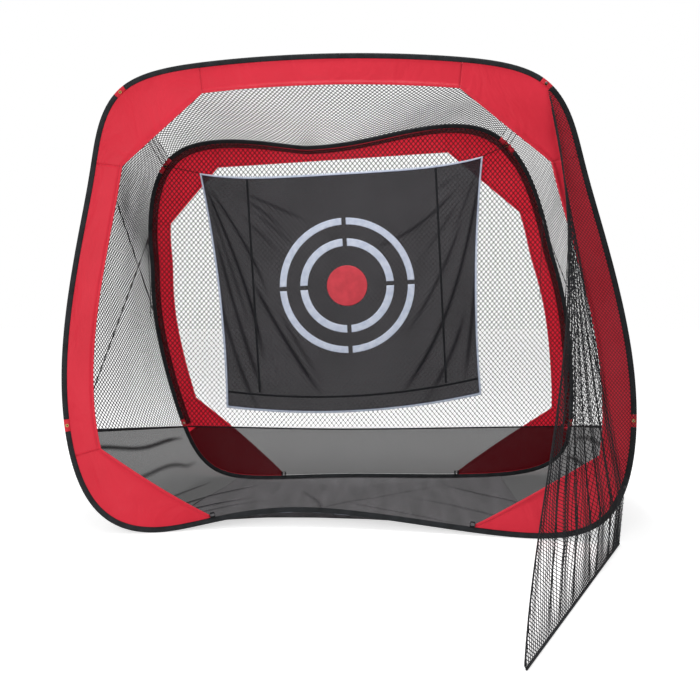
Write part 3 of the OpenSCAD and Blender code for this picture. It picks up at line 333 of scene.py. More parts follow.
# The frame's point at the bow of the bottom, and where places on the front hoop lie in the back one's steps
BOW = ((-0.325, -0.390, 0.120), (-0.140, 0.260, 0.082))
SHARED = np.array([(0, 0), (2.11, 2.26), (5.45, 6.04), (6.85, 7.17), (8, 8), (9.25, 8.87), (10.6, 9.9),
                   (13.89, 13.74), (16, 16)])
# Where the eyelet patches and the peg loops sit on both hoops, and how long they are
EYELET_S, PATCH_LENGTH = (2.11, 5.45, 10.6, 13.89), 0.054
PEG_S, LOOP_HOLE, LOOP_T = (7.42, 8.79), 0.018, 0.0016
HALF_W = 0.012
HALF_T = 0.0076
CHAMFER_W, CHAMFER_T = 0.0023, 0.002
STITCH_STRETCH = 4.2
SLEEVE_SEAM = (-0.0085, 0.0044)


def mix(a, b, k):
    return a * (1 - k) + b * k


def post(h, side, x, z):
    """A point of the bend frame, moved by the hoop's lean, rack, rise and toe."""
    k = min(max(z / FULL_H[h], 0), 1)
    return np.array([side * x + mix(RACK_BASE[h], RACK_TOP[h], k),
                     FOOT_Y[h] + INWARD[h] * LEAN[h] * k + side * TOE[h] * x * (1 - k),
                     z + side * RISE[h] * x * k])


def bend_frame(h):
    crown = post(h, 1, 0, MID_H[h]) + (DIP_X[h], 0, RISE[h] * DIP_X[h])
    return np.array([crown, *(post(h, -1, *p) for p in HALF_FRAME[h]), BOW[h],
                     *(post(h, 1, *p) for p in reversed(HALF_FRAME[h]))])


bend = [bend_frame(h) for h in (FRONT, BACK)]
middle = [b.mean(axis=0) for b in bend]


def on_frame(h, t):
    """The smooth hoop inside its bend frame, at t in the frame's own steps."""
    i = np.floor(t).astype(int)
    u = (t - i)[..., None]
    p = [bend[h][(i + k) % TURN] for k in (-1, 0, 1, 2)]
    return (p[0] * (1 - u) ** 3 + p[1] * (3 * u ** 3 - 6 * u * u + 4)
            + p[2] * (-3 * u ** 3 + 3 * u * u + 3 * u + 1) + p[3] * u ** 3) / 6


def own(h, s):
    s = np.asarray(s, float) % TURN
    return s if h == FRONT else np.interp(s, SHARED[:, 0], SHARED[:, 1])


def along(h, s):
    return unit(on_frame(h, own(h, s + 0.01)) - on_frame(h, own(h, s - 0.01)))


def span(s, length):
    """Where a fitting of that length begins and ends, with its middle at s."""
    before, beyond = (on_frame(FRONT, own(FRONT, s + step)) for step in (-0.01, 0.01))
    half = 0.01 * length / np.linalg.norm(beyond - before)
    return s - half, s + half


PATCH_SPAN = [span(s, PATCH_LENGTH) for s in EYELET_S]
LOOP_SPAN = [span(s, LOOP_HOLE + 2 * LOOP_T) for s in PEG_S]


def out(h, s):
    d = on_frame(h, own(h, s)) - middle[h]
    t = along(h, s)
    return unit(d - t * (d * t).sum(-1, keepdims=True))


def through(h, s):
    return np.cross(along(h, s), out(h, s))


def resting_lift(h):
    """The lift that stands the lowest fold of the sleeve on the ground."""
    s = np.linspace(6, 10, 800)
    u = abs(out(h, s)[:, 2])
    w = abs(through(h, s)[:, 2])
    reach = np.maximum(HALF_W * u + (HALF_T - CHAMFER_T) * w, (HALF_W - CHAMFER_W) * u + HALF_T * w)
    return -(on_frame(h, own(h, s))[:, 2] - reach).min()


lift = [resting_lift(h) for h in (FRONT, BACK)]


def place(h, s):
    return on_frame(h, own(h, s)) + (0, 0, lift[h])


def at(h, s, u, w):
    """A point at s, set off by u out of the hoop and by w towards the back."""
    s = np.asarray(s, float)
    u = np.asarray(u, float)[..., None]
    w = np.asarray(w, float)[..., None]
    return place(h, s) + u * out(h, s) + w * through(h, s)


def stations(h, a, b, step):
    """Places from a to b, about step metres apart along the hoop."""
    s = np.linspace(a, b, 200)
    run = lengths(place(h, s))
    count = max(int(math.ceil(run[-1] / step)), 2)
    return np.interp(np.linspace(0, run[-1], count + 1), run, s)


def swept(h, s, section):
    """Rings of a section of (u, w) pairs at the places s."""
    q = np.array(section)
    return at(h, s[:, None], q[None, :, 0], q[None, :, 1])


# Half the folded tape's section, from its sewn edge to its fold: out of the hoop, and to one side
TAPE_OUTSIDE = ((-0.012, 0.0019), (-0.0095, 0.0036), (-0.006, 0.0056), (-0.001, 0.0071), (0.003, 0.0076),
                (0.007, 0.0073), (0.0102, 0.0056), (0.0116, 0.0030), (0.012, 0))
TAPE_INSIDE = ((-0.012, 0.0007), (-0.0095, 0.0023), (-0.006, 0.0043), (-0.001, 0.0059), (0.003, 0.0064),
               (0.007, 0.0061), (0.0093, 0.0048), (0.0105, 0.0026), (0.0108, 0))


def mirrored(half):
    return [*half, *((u, -w) for u, w in reversed(half[:-1]))]


TAPE_SECTION = [*mirrored(TAPE_OUTSIDE), *reversed(mirrored(TAPE_INSIDE))]
tape = dyed("folded_black_tape", 0.72, (20, 22, 24), (34, 36, 39), 24, spot=cut_place, woven=(0.0018, 0.0005),
            Specular_IOR_Level=0.2)
thread_black = dyed("black_thread", 0.7, (26, 27, 29), (44, 45, 48), 300, Specular_IOR_Level=0.2)


def node_group(name, sockets):
    """A geometry-nodes tree that takes a mesh and the named sockets, and what it is given there."""
    tree = bpy.data.node_groups.new(name, "GeometryNodeTree")
    for socket, kind in {"Geometry": "Geometry", **sockets}.items():
        tree.interface.new_socket(socket, in_out="INPUT", socket_type="NodeSocket" + kind)
    tree.interface.new_socket("Geometry", in_out="OUTPUT", socket_type="NodeSocketGeometry")
    return tree, add(tree, "NodeGroupInput").outputs


def made_real(tree, made, finish):
    """Ends a tree: what it made comes out as real geometry, smooth and in its finish."""
    real = add(tree, "GeometryNodeRealizeInstances", {"Geometry": made})
    smooth = add(tree, "GeometryNodeSetShadeSmooth", {0: real.outputs[0]})
    painted = add(tree, "GeometryNodeSetMaterial", {"Geometry": smooth.outputs[0], "Material": finish})
    add(tree, "NodeGroupOutput", {"Geometry": painted.outputs[0]})


def stitch_machine():
    """Geometry nodes: sews a row of raised stitches along each line of edges."""
    tree, given = node_group("stitch_row", {"Stitch pitch": "Float", "Thread radius": "Float",
                                            "Thread finish": "Material"})
    line = add(tree, "GeometryNodeMeshToCurve", {"Mesh": given["Geometry"]})
    holes = add(tree, "GeometryNodeCurveToPoints",
                {"Curve": line.outputs[0], "Length": given["Stitch pitch"]}, mode="LENGTH")
    turned = add(tree, "FunctionNodeAlignRotationToVector", {"Vector": holes.outputs["Tangent"]}, axis="Z")
    bead = add(tree, "GeometryNodeMeshUVSphere",
               {"Segments": 5, "Rings": 3, "Radius": given["Thread radius"]})
    long_bead = add(tree, "GeometryNodeTransform",
                    {"Geometry": bead.outputs[0], "Scale": (1, 1, STITCH_STRETCH)})
    sewn = add(tree, "GeometryNodeInstanceOnPoints",
               {"Points": holes.outputs["Points"], "Instance": long_bead.outputs[0],
                "Rotation": turned.outputs[0]})
    made_real(tree, sewn.outputs[0], given["Thread finish"])
    return tree


def made_plain(piece):
    """Turns a piece and its modifiers into one plain mesh."""
    plain = bpy.data.meshes.new_from_object(piece.evaluated_get(bpy.context.evaluated_depsgraph_get()))
    piece.modifiers.clear()
    piece.data = plain


def grown(name, points, edges, tree, values):
    """A plain mesh from edges that a geometry-nodes tree turns into threads or strands."""
    mesh = bpy.data.meshes.new(name)
    mesh.from_pydata(points.tolist(), edges.tolist(), [])
    piece = new_object(name, mesh)
    maker = piece.modifiers.new("maker", "NODES")
    maker.node_group = tree
    for item in tree.interface.items_tree:
        if item.in_out == "INPUT" and item.name in values:
            maker[item.identifier] = values[item.name]
    made_plain(piece)
    return piece


def chains(rows):
    """Points and edges of separate open lines."""
    points = np.concatenate(rows)
    edges, start = [], 0
    for row in rows:
        i = np.arange(len(row) - 1) + start
        edges.append(np.stack([i, i + 1], axis=1))
        start += len(row)
    return points, np.concatenate(edges)


stitch_row = stitch_machine()


def sew(name, rows, finish, pitch=0.007, radius=0.0005):
    points, edges = chains(rows)
    return grown(name, points, edges, stitch_row,
                 {"Stitch pitch": pitch, "Thread radius": radius, "Thread finish": finish})


SLEEVE_STEP = 0.012
HOOPS = ((FRONT, "front"), (BACK, "back"))
SLEEVES = (("top", 3, 0), ("left", 0, 1), ("bottom", 1, 2), ("right", 2, 3))
for h, hoop in HOOPS:
    seam_lines = []
    for part, start, end in SLEEVES:
        a = PATCH_SPAN[start][1]
        b = PATCH_SPAN[end][0] + (TURN if part == "top" else 0)
        s = stations(h, a, b, SLEEVE_STEP)
        sleeve = tube(f"{hoop}_{part}_tape", swept(h, s, TAPE_SECTION), tape)
        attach(sleeve, hoop + "_frame")
        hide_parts(f"{hoop}_sleeve_{part}")
        seam_lines += [at(h, s, SLEEVE_SEAM[0], side * SLEEVE_SEAM[1]) for side in (-1, 1)]
    seams = sew(hoop + "_sleeve_stitches", seam_lines, thread_black)
    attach(seams, hoop + "_frame")


def repaint(name, finish):
    """Puts a finish on a solid that is shown as it is."""
    nodes[name].data.materials.clear()
    nodes[name].data.materials.append(finish)


blued = dyed("blued_spring_steel", 0.32, (92, 98, 112), (140, 146, 156), 40, Metallic=1.0)
for name in ("front_steel_hoop", "front_hoop_ferrule", "back_steel_hoop", "back_hoop_ferrule"):
    repaint(name, blued)

# ---- Border panels ----------------------------------------------------------
# Seven panels of red coated polyester line the inside of each hoop.
# Their outer edge is caught in the sleeve, and the free edge has a turned and sewn hem.
# The back ones have a painted glow, an emission that stands in for the light that comes through the thin
# cloth from behind, and their dyes are painted a little lighter.
PANEL_T = 0.0008
BAND_W = (0.118, 0.104)
TOP_BAND_W = (0.118, 0.128)
TIP_W = 0.014
SEAM_S = ((1.1, 3.5, 5.68, 10.32, 12.5, 14.9), (1.54, 2.77, 5.25, 10.75, 13.23, 14.46))
BOW_REACH = 0.7
PAINTED_GLOW = 0.42


def flat_y(h, x, z):
    k = np.clip(z / FULL_H[h], 0, 1)
    return (FOOT_Y[h] + INWARD[h] * LEAN[h] * k
            + TOE[h] * (x - mix(RACK_BASE[h], RACK_TOP[h], k)) * (1 - k))


def table(keys, values):
    order = np.argsort(keys)
    return keys[order], values[order]


side_places = np.arange(5.5, 1.54, -0.1)
left_side = [place(h, side_places) for h in (FRONT, BACK)]
right_side = [place(h, np.arange(10.5, 14.46, 0.1)) for h in (FRONT, BACK)]
bottom_side = [place(h, np.arange(5.5, 10.56, 0.1)) for h in (FRONT, BACK)]
bottom_z = [table(p[:, 0], p[:, 2]) for p in bottom_side]
bottom_d = [table(p[:, 0], p[:, 1] - flat_y(h, p[:, 0], p[:, 2])) for h, p in enumerate(bottom_side)]


def bowed_y(h, x, z):
    k = np.clip(1 - (z - np.interp(x, *bottom_z[h])) / BOW_REACH, 0, 1)
    return flat_y(h, x, z) + k * k * np.interp(x, *bottom_d[h])


left_x = [table(p[:, 2], p[:, 0]) for p in left_side]
right_x = [table(p[:, 2], p[:, 0]) for p in right_side]
left_d = [table(p[:, 2], p[:, 1] - bowed_y(h, p[:, 0], p[:, 2])) for h, p in enumerate(left_side)]
right_d = [table(p[:, 2], p[:, 1] - bowed_y(h, p[:, 0], p[:, 2])) for h, p in enumerate(right_side)]


def fill_y(h, x, z):
    """Depth of the surface that fills a hoop, straight across and bowed at the bottom."""
    a, b = np.interp(z, *left_x[h]), np.interp(z, *right_x[h])
    return bowed_y(h, x, z) + mix(np.interp(z, *left_d[h]), np.interp(z, *right_d[h]),
                                  np.clip((x - a) / (b - a), 0, 1))


def filled(h, p):
    """The points put on the surface that fills a hoop."""
    return np.stack([p[..., 0], fill_y(h, p[..., 0], p[..., 2]), p[..., 2]], axis=-1)


def cloth(name, grid, thick, finish):
    """A closed sheet with its middle on a grid of points; thick may change over it."""
    m, n = grid.shape[:2]
    normal = unit(np.cross(np.gradient(grid, axis=0), np.gradient(grid, axis=1)))
    off = normal * np.broadcast_to(thick, (m, n))[..., None] / 2
    points = np.concatenate([(grid + off).reshape(-1, 3), (grid - off).reshape(-1, 3)])
    u, v = lengths(grid, 0), lengths(grid, 1)
    low = m * n
    i, j = np.meshgrid(np.arange(m - 1), np.arange(n - 1), indexing="ij")
    a = (i * n + j).ravel()
    quads = np.stack([a, a + n, a + n + 1, a + 1], axis=1)
    rim_i = np.arange(m - 1) * n
    rim_j = np.arange(n - 1)
    rims = [np.stack([r, r + step, r + step + low, r + low], axis=1)
            for r, step in ((rim_i, n), (rim_i + n - 1, n), (rim_j, 1), (rim_j + (m - 1) * n, 1))]
    faces = np.concatenate([quads, (quads + low)[:, ::-1], *rims])
    spot = np.stack([u.ravel(), v.ravel()], axis=1)
    return build(name, points, faces.tolist(), spot[faces.ravel() % low], finish)


def ripple(x, y, seed):
    """A smooth uneven wave between -1 and 1 over metres x and y."""
    total = 0
    for k in range(4):
        turn = seed * 1.7 + k * 2.39996
        rate = 2.1 * 1.75 ** k
        across = x * math.cos(turn) + y * math.sin(turn)
        total = total + np.sin(rate * across * 2 + seed * 3.1 + k) / 1.5 ** k
    return total / 2.4


HEM_W = 0.012
HEM_LAYERS = 2.2
SEAM_LAP = 0.006
SEAM_SHARES = np.linspace(0.02, 0.985, 14)[:, None]
SLEEVE_MOUTH = -0.013
PANEL_STEP, PANEL_GAP = 0.011, 0.0004
PUCKER, PUCKER_START, PUCKER_FADE = 0.0016, 0.006, 0.03
PUCKERS_ROUND = 176
SWELL, SWELL_START = 0.0055, 0.05
HEM_PITCH, HEM_THREAD_R = 0.008, (0.00045, 0.0009)


def relief_of(h, s, points, away):
    """How far a panel stands proud at points that lie away from the sleeve at s."""
    puckers = PUCKER * (0.5 + 0.5 * np.sin(s * 2 * math.pi * PUCKERS_ROUND / TURN
                                           + 2 * ripple(points[..., 0] * 3, points[..., 2] * 3, 2)))
    swell = SWELL * (0.5 + 0.5 * ripple(points[..., 0] * 1.3, points[..., 2] * 1.3, 5 + h))
    return (puckers * np.exp(-away / PUCKER_FADE) * np.clip(away / PUCKER_START, 0, 1)
            + swell * np.clip(away / SWELL_START, 0, 1)) * (-1 if h == FRONT else 1)


def joined(pieces, name):
    """Makes one piece of several: the first takes up the others and the name."""
    with bpy.context.temp_override(active_object=pieces[0], selected_editable_objects=pieces):
        bpy.ops.object.join()
    pieces[0].name = name


def panel_grid(h, a, b, width_a, width_b, straight):
    """Grid of a panel from the sleeve to its free edge, puckered at the sleeve."""
    s = stations(h, a, b, PANEL_STEP)
    s[0] += PANEL_GAP
    s[-1] -= PANEL_GAP
    first = filled(h, at(h, s[0], -HALF_W - width_a, 0))
    last = filled(h, at(h, s[-1], -HALF_W - width_b, 0))
    run = place(h, s[-1]) - place(h, s[0])
    k = np.clip(((place(h, s) - place(h, s[0])) @ run) / (run @ run), 0, 1)
    if straight:
        edge = filled(h, mix(first, last, k[:, None]))
    else:
        edge = filled(h, at(h, s, -HALF_W - mix(width_a, width_b, k), 0))
    start = at(h, s, SLEEVE_MOUTH, 0)
    wide = np.linalg.norm(edge - start, axis=-1)
    hem = np.clip(1 - HEM_W / wide, 0.3, 1)
    shares = np.stack([*(hem * j for j in np.linspace(0, 1, 9)), hem + 0.001, (hem + 1) / 2,
                       np.ones_like(hem)], axis=1)
    body = filled(h, start[:, None] * (1 - shares[..., None]) + edge[:, None] * shares[..., None])
    body[:, 0] = start
    away = shares * wide[:, None]
    body[..., 1] += relief_of(h, s[:, None], body, away)
    grid = np.concatenate([at(h, s, -0.010, 0)[:, None], body], axis=1)
    thick = np.full(grid.shape[:2], PANEL_T)
    thick[:, -3:] = HEM_LAYERS * PANEL_T
    return grid, thick


coated = {"woven": (0.0012, 0.00012), "Sheen_Weight": 0.05, "Sheen_Roughness": 0.5,
          "Specular_IOR_Level": 0.22}
polyester = dyed("red_polyester", 0.52, (200, 30, 50), (214, 40, 60), 2.2, 4.0, **coated)
# The back copy of the red has slightly lighter dyes and an emission, both painted light.
back_polyester = dyed("red_polyester_painted_glow", 0.52, (206, 32, 52), (220, 42, 62), 2.2, 4.0,
                      Emission_Color=dye(214, 24, 46), **coated)
for finish in (polyester, back_polyester):
    creases(finish, 5.0, 0.035, (1, 1, 0.55))
# Painted glow: the emission is on where the front face is marked.
back_tree = back_polyester.node_tree
painted_glow_share = add(back_tree, "ShaderNodeAttribute", attribute_name="painted_glow_face").outputs["Fac"]
painted_glow_strength = add(back_tree, "ShaderNodeMath", {0: painted_glow_share, 1: PAINTED_GLOW}, operation="MULTIPLY")
back_tree.links.new(painted_glow_strength.outputs[0], shader_of(back_polyester).inputs["Emission Strength"])


def mark_painted_glow_face(sheet):
    """Marks the front face of a closed sheet, where its painted glow shows."""
    places = np.empty(len(sheet.data.vertices) * 3, np.float32)
    sheet.data.vertices.foreach_get("co", places)
    depths = places[1::3].reshape(2, -1)
    lit = np.repeat(depths.mean(axis=1) < depths.mean(), depths.shape[1]).astype(np.float32)
    sheet.data.attributes.new("painted_glow_face", "FLOAT", "POINT").data.foreach_set("value", lit)


thread_red = dyed("red_thread", 0.5, (150, 20, 34), (186, 34, 50), 300)


for h, hoop in HOOPS:
    seam = SEAM_S[h]
    side, top, panel_cloth = BAND_W[h], TOP_BAND_W[h], (polyester, back_polyester)[h]
    panels = (("band_top", seam[5], seam[0] + TURN, top, top, h == BACK),
              ("band_left", seam[1], seam[2], side, side, False),
              ("band_right", seam[3], seam[4], side, side, False),
              ("corner_top_left", seam[0], seam[1], top, side, True),
              ("corner_top_right", seam[4], seam[5], side, top, True),
              ("corner_bottom_left", seam[2], LOOP_SPAN[0][0], side, TIP_W, True),
              ("corner_bottom_right", LOOP_SPAN[1][1], seam[3], TIP_W, side, True))
    hems, felled = [], []
    for s, width in zip(seam, (top, side, side, side, side, top)):
        start = at(h, s, SLEEVE_MOUTH, 0)
        edge = filled(h, at(h, s, -HALF_W - width, 0))
        beside = along(h, s) * np.array([-SEAM_LAP, 0, SEAM_LAP])[:, None]
        flat = filled(h, mix(start, edge, SEAM_SHARES)[:, None] + beside)
        flat[..., 1] += relief_of(h, s, flat, SEAM_SHARES * width)
        behind = 1 if h == FRONT else -1
        felled.append(cloth("felled_seam", flat + (0, behind * 1.6 * PANEL_T, 0), PANEL_T, panel_cloth))
        mark_painted_glow_face(felled[-1])
    joined(felled, hoop + "_felled_seams")
    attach(felled[0], hoop + "_frame")
    for part, a, b, width_a, width_b, straight in panels:
        grid, thick = panel_grid(h, a, b, width_a, width_b, straight)
        panel = cloth(f"{hoop}_{part}_polyester", grid, thick, panel_cloth)
        mark_painted_glow_face(panel)
        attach(panel, hoop + "_frame")
        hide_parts(f"{hoop}_{part}")
        hems.append(grid[:, -3] + (0, -1.15 * PANEL_T, 0))
        hems += [grid[i, 2:] + (0, -0.6 * PANEL_T, 0) for i in (1, -2)]
    stitches = sew(hoop + "_panel_stitches", hems, (thread_red, thread_black)[h], HEM_PITCH, HEM_THREAD_R[h])
    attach(stitches, hoop + "_frame")

# ---- Eyelet patches, eyelets and peg loops ----------------------------------
# A red tape patch closes each gap between two sleeves, and a plated eyelet goes through it.
# Loops of black webbing under each hoop take the ground pegs.
CLEAR = 0.0003
EYELET_IN, EYELET_T = 0.003, 0.0008
EYELET_FACE = HALF_T + CLEAR + EYELET_T
BARREL_R = 0.0043
PATCH_SECTION = [(u, w * 0.97) for u, w in TAPE_SECTION]
patch_red = dyed("red_patch_tape", 0.6, (184, 26, 42), (202, 38, 54), 60, woven=(0.0015, 0.0004),
                 Specular_IOR_Level=0.25)
plated = dyed("plated_brass", 0.36, (116, 92, 54), (158, 130, 82), 500, Metallic=1.0)


def stretch(h, ends):
    """Middle, out, through and along of a straight stretch of the hoop."""
    a, b = place(h, ends[0]), place(h, ends[1])
    t = unit(b - a)
    o = out(h, ends[0]) + out(h, ends[1])
    u = unit(o - t * (o @ t))
    return (a + b) / 2, u, np.cross(t, u), t


def stretch_point(f, u, w, t=0.0):
    return f[0] + u * f[1] + w * f[2] + t * f[3]


def round_rings(path, radius, sides=12):
    """Rings of a round cord along a path; radius may change along it."""
    path = np.asarray(path, float)
    run = unit(np.gradient(path, axis=0))
    first = np.array([0.31, 0.17, 0.93])
    a = unit(np.cross(run, first))
    b = np.cross(run, a)
    turn = np.arange(sides) * 2 * math.pi / sides
    radius = np.broadcast_to(radius, (len(path),))[:, None, None]
    return path[:, None] + radius * (np.cos(turn)[None, :, None] * a[:, None]
                                     + np.sin(turn)[None, :, None] * b[:, None])


def cut_away(piece, cutter):
    """Takes the cutter's form out of a piece, for good."""
    knife = piece.modifiers.new("knife", "BOOLEAN")
    knife.operation = "DIFFERENCE"
    knife.object = cutter
    knife.solver = "EXACT"
    made_plain(piece)
    bpy.data.objects.remove(cutter)


for h, hoop in HOOPS:
    patches = []
    for ends in PATCH_SPAN:
        s = np.linspace(ends[0] + 0.0005, ends[1] - 0.0005, 9)
        patch = tube(f"{hoop}_patch", swept(h, s, PATCH_SECTION), patch_red)
        f = stretch(h, ends)
        drill = tube("drill", round_rings([stretch_point(f, -EYELET_IN, w) for w in (-0.02, 0, 0.02)],
                                          BARREL_R + 0.0002, 24), patch_red)
        cut_away(patch, drill)
        patches.append(patch)
    joined(patches, hoop + "_red_patches")
    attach(patches[0], hoop + "_frame")
    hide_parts(hoop + "_eyelet_patches")
    repaint(hoop + "_eyelets", plated)

LOOP_W = 0.020
LOOP_ROUND = 0.35
NET_EDGE_W = 0.0017
LOOP_SHIFT = (0, -LOOP_W / 2 - NET_EDGE_W - 0.0008 - CLEAR)
LOOP_TOP = (-HALF_W - CLEAR, -HALF_W + 0.002)
half = (LOOP_HOLE + LOOP_T) / 2
turn = np.linspace(0, 2 * math.pi, 48, endpoint=False)
c, d = np.cos(turn), np.sin(turn)
loop_ring = np.stack([np.sign(c) * abs(c) ** LOOP_ROUND, np.sign(d) * abs(d) ** LOOP_ROUND], axis=1) * half
loop_section = band_outline(0.46, 0.3)
for h, hoop in HOOPS:
    loops = []
    for ends in LOOP_SPAN:
        f = stretch(h, ends)
        centre = LOOP_TOP[h] - LOOP_T / 2 - half
        path = np.array([stretch_point(f, centre + u, LOOP_SHIFT[h], t) for u, t in loop_ring])
        outward = unit(path - path.mean(axis=0))
        run = unit(np.roll(path, -1, axis=0) - np.roll(path, 1, axis=0))
        up = unit(outward - run * (outward * run).sum(-1, keepdims=True))
        rings = (path[:, None] + loop_section[None, :, :1] * LOOP_W * f[2]
                 + loop_section[None, :, 1:] * LOOP_T * up[:, None])
        loops.append(tube(f"{hoop}_loop", rings, webbing, looped=True))
    joined(loops, hoop + "_webbing_loops")
    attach(loops[0], hoop + "_frame")
    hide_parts(hoop + "_peg_loops")

# ---- Netting ----------------------------------------------------------------
# Roof, sides and back are black knotted polyethylene netting, its diamonds pulled a little
# wider or longer by how each stretch is hung. It is sewn to the sleeves.
ROOF_CELL = (0.022, 0.034)
LEFT_CELL = (0.022, 0.027)
RIGHT_CELL = (0.028, 0.032)
BACK_CELL = (0.026, 0.030)
STRAND_R = 0.0020
FINE_STRAND_R = 0.0014
KNOT_SHARE = 1.8
NET_U, NET_SEAT = HALF_W - 0.0055, HALF_T + CLEAR + 0.0004
netting = dyed("black_netting", 0.8, (22, 23, 25), (40, 41, 44), 8, Specular_IOR_Level=0.2)


def strand_machine():
    """Geometry nodes: a thin three-sided strand along every edge of a net, and a knot at its ends."""
    tree, given = node_group("net_strands", {"Strand radius": "Float", "Knot radius": "Float",
                                             "Net finish": "Material"})
    line = add(tree, "GeometryNodeMeshToCurve", {"Mesh": given["Geometry"]})
    ring = add(tree, "GeometryNodeCurvePrimitiveCircle",
               {"Resolution": 3, "Radius": given["Strand radius"]})
    strand = add(tree, "GeometryNodeCurveToMesh",
                 {"Curve": line.outputs[0], "Profile Curve": ring.outputs[0]})
    spots = add(tree, "GeometryNodeMeshToPoints", {"Mesh": given["Geometry"]})
    lump = add(tree, "GeometryNodeMeshUVSphere",
               {"Segments": 4, "Rings": 2, "Radius": given["Knot radius"]})
    knots = add(tree, "GeometryNodeInstanceOnPoints",
                {"Points": spots.outputs[0], "Instance": lump.outputs[0]})
    whole = add(tree, "GeometryNodeJoinGeometry")
    for made in (strand.outputs[0], knots.outputs[0]):
        tree.links.new(made, whole.inputs[0])
    made_real(tree, whole.outputs[0], given["Net finish"])
    return tree


net_strands = strand_machine()


def diamond_net(name, cell, low, high, inside, to_space, strand_r=STRAND_R):
    """Diamond netting over a flat cut from low to high, trimmed to inside and put in space."""
    half = np.array(cell) / 2
    ni, nj = (int(math.ceil((high[k] - low[k]) / half[k])) + 1 for k in (0, 1))
    i, j = np.meshgrid(np.arange(ni), np.arange(nj), indexing="ij")
    knots = (i + j) % 2 == 0
    ends = []
    for step in (-1, 1):
        ok = knots & (i < ni - 1) & (j + step >= 0) & (j + step < nj)
        start = np.stack([i[ok], j[ok]], axis=1)
        ends.append(np.stack([start, start + (1, step)], axis=1))
    ends = np.concatenate(ends) * half + np.array(low)
    held = inside(ends[..., 0], ends[..., 1])
    ends, held = ends[held.any(axis=1)], held[held.any(axis=1)]
    kept = np.where(held[:, :1, None], ends[:, :1], ends[:, 1:])[:, 0]
    lost = np.where(held[:, :1, None], ends[:, 1:], ends[:, :1])[:, 0]
    near, far = kept.copy(), lost.copy()
    for halving in range(12):
        half_way = (near + far) / 2
        ok = inside(half_way[:, 0], half_way[:, 1])[:, None]
        near, far = np.where(ok, half_way, near), np.where(ok, far, half_way)
    trimmed = np.where(held.all(axis=1)[:, None], lost, near)
    flat = np.concatenate([kept, trimmed])
    index = np.unique(np.round(flat, 6), axis=0, return_inverse=True)
    points, edges = index[0], index[1].reshape(2, -1).T
    edges = edges[edges[:, 0] != edges[:, 1]]
    return grown(name, to_space(points[:, 0], points[:, 1]), edges, net_strands,
                 {"Strand radius": strand_r, "Knot radius": KNOT_SHARE * strand_r, "Net finish": netting})


def thread(s, v):
    """A thread of the tunnel, from the front sleeve at v = 0 to the back sleeve at 1."""
    v = np.asarray(v, float)[..., None]
    return mix(at(FRONT, s, NET_U, NET_SEAT), at(BACK, s, NET_U, -NET_SEAT), v)


FOLDS = {"front_y": -0.40, "back_y": 0.50}


def gather(piece, front_y, back_y):
    """Bakes where the piece stands into its mesh."""
    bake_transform(piece)


NET_SWAY, SWAY_FADE = 0.005, 0.12
# Part, from and to on the hoops, its own waves, cell, strand, and how far it bows outward
TUNNEL = (("roof", 13.98, 18.018, 1, ROOF_CELL, STRAND_R, -0.6),
          ("left_side", 2.02, 5.49, 2, LEFT_CELL, STRAND_R, 1.2),
          ("right_side", 10.562, 13.976, 3, RIGHT_CELL, FINE_STRAND_R, 0.5))
for part, a, b, seed, cell, strand_r, bow in TUNNEL:
    s_table = np.linspace(a, b, 400)
    run_table = lengths(thread(s_table, 0.5))
    reach = thread(s_table, 1) - thread(s_table, 0)
    depth = float(np.linalg.norm(reach, axis=-1).mean())
    length = float(run_table[-1])
    skew = (reach * along(FRONT, s_table)).sum(-1)

    def upright(x, y):
        """How far along the hoops a knot sits, with the rows of the net kept upright."""
        return x - np.interp(x, run_table, skew) * (np.clip(y / depth, 0, 1) - 0.5)

    def tunnel_space(x, y):
        s = np.interp(upright(x, y), run_table, s_table)
        v = np.clip(y / depth, 0, 1)
        p = thread(s, v)
        outward = mix(out(FRONT, s), out(BACK, s), 0.5)
        loose = 4 * v * (1 - v) * np.clip(np.minimum(x, length - x) / SWAY_FADE, 0, 1)
        sway = NET_SWAY * (ripple(x * 1.6, v * 1.2, seed) + bow) * loose
        return p + outward * sway[..., None]

    def tunnel_cut(x, y):
        x = upright(x, y)
        return (x >= 0) & (x <= length) & (y >= 0) & (y <= depth)

    spare = 12 * cell[0]
    net = diamond_net(part + "_netting", cell, (-spare, 0), (length + spare, depth + cell[1]), tunnel_cut,
                      tunnel_space, strand_r)
    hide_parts(part + "_net")
    gather(net, **FOLDS)

BACK_CENTRE = np.array([0, 0, 1.0])
NET_STAND, STAND_SHARE = 0.008, 0.035
BACK_WAVE = 0.0015
SKIRT_TOP = (PATCH_SPAN[1][1], PATCH_SPAN[2][0])
skirt_edge = [place(BACK, s) for s in SKIRT_TOP]


def skirt_z(x):
    return np.interp(x, [p[0] for p in skirt_edge], [p[2] for p in skirt_edge])


edge_places = np.linspace(0, TURN, 800, endpoint=False)
edge_points = at(BACK, edge_places, SLEEVE_MOUTH, -NET_EDGE_W)
edge_turns = np.arctan2(edge_points[:, 2] - BACK_CENTRE[2], edge_points[:, 0])
edge_reach = np.hypot(edge_points[:, 2] - BACK_CENTRE[2], edge_points[:, 0])
order = np.argsort(edge_turns)
edge_turns, edge_reach = edge_turns[order], edge_reach[order]


def reach_share(x, z):
    """Distance from the back's centre, as a share of the sleeve's."""
    turn = np.arctan2(z - BACK_CENTRE[2], x)
    return np.hypot(z - BACK_CENTRE[2], x) / np.interp(turn, edge_turns, edge_reach, period=2 * math.pi)


def before_panels(x, z):
    """Places across the back hoop, before its panels."""
    stand = mix(NET_EDGE_W, NET_STAND, np.clip((1 - reach_share(x, z)) / STAND_SHARE, 0, 1))
    y = fill_y(BACK, x, z) - stand + BACK_WAVE * ripple(x, z, 4)
    return np.stack([x + 0 * z, y, z + 0 * x], axis=-1)


def back_cut(x, z):
    return (reach_share(x, z) <= 1) & (z > skirt_z(x) + 0.001)


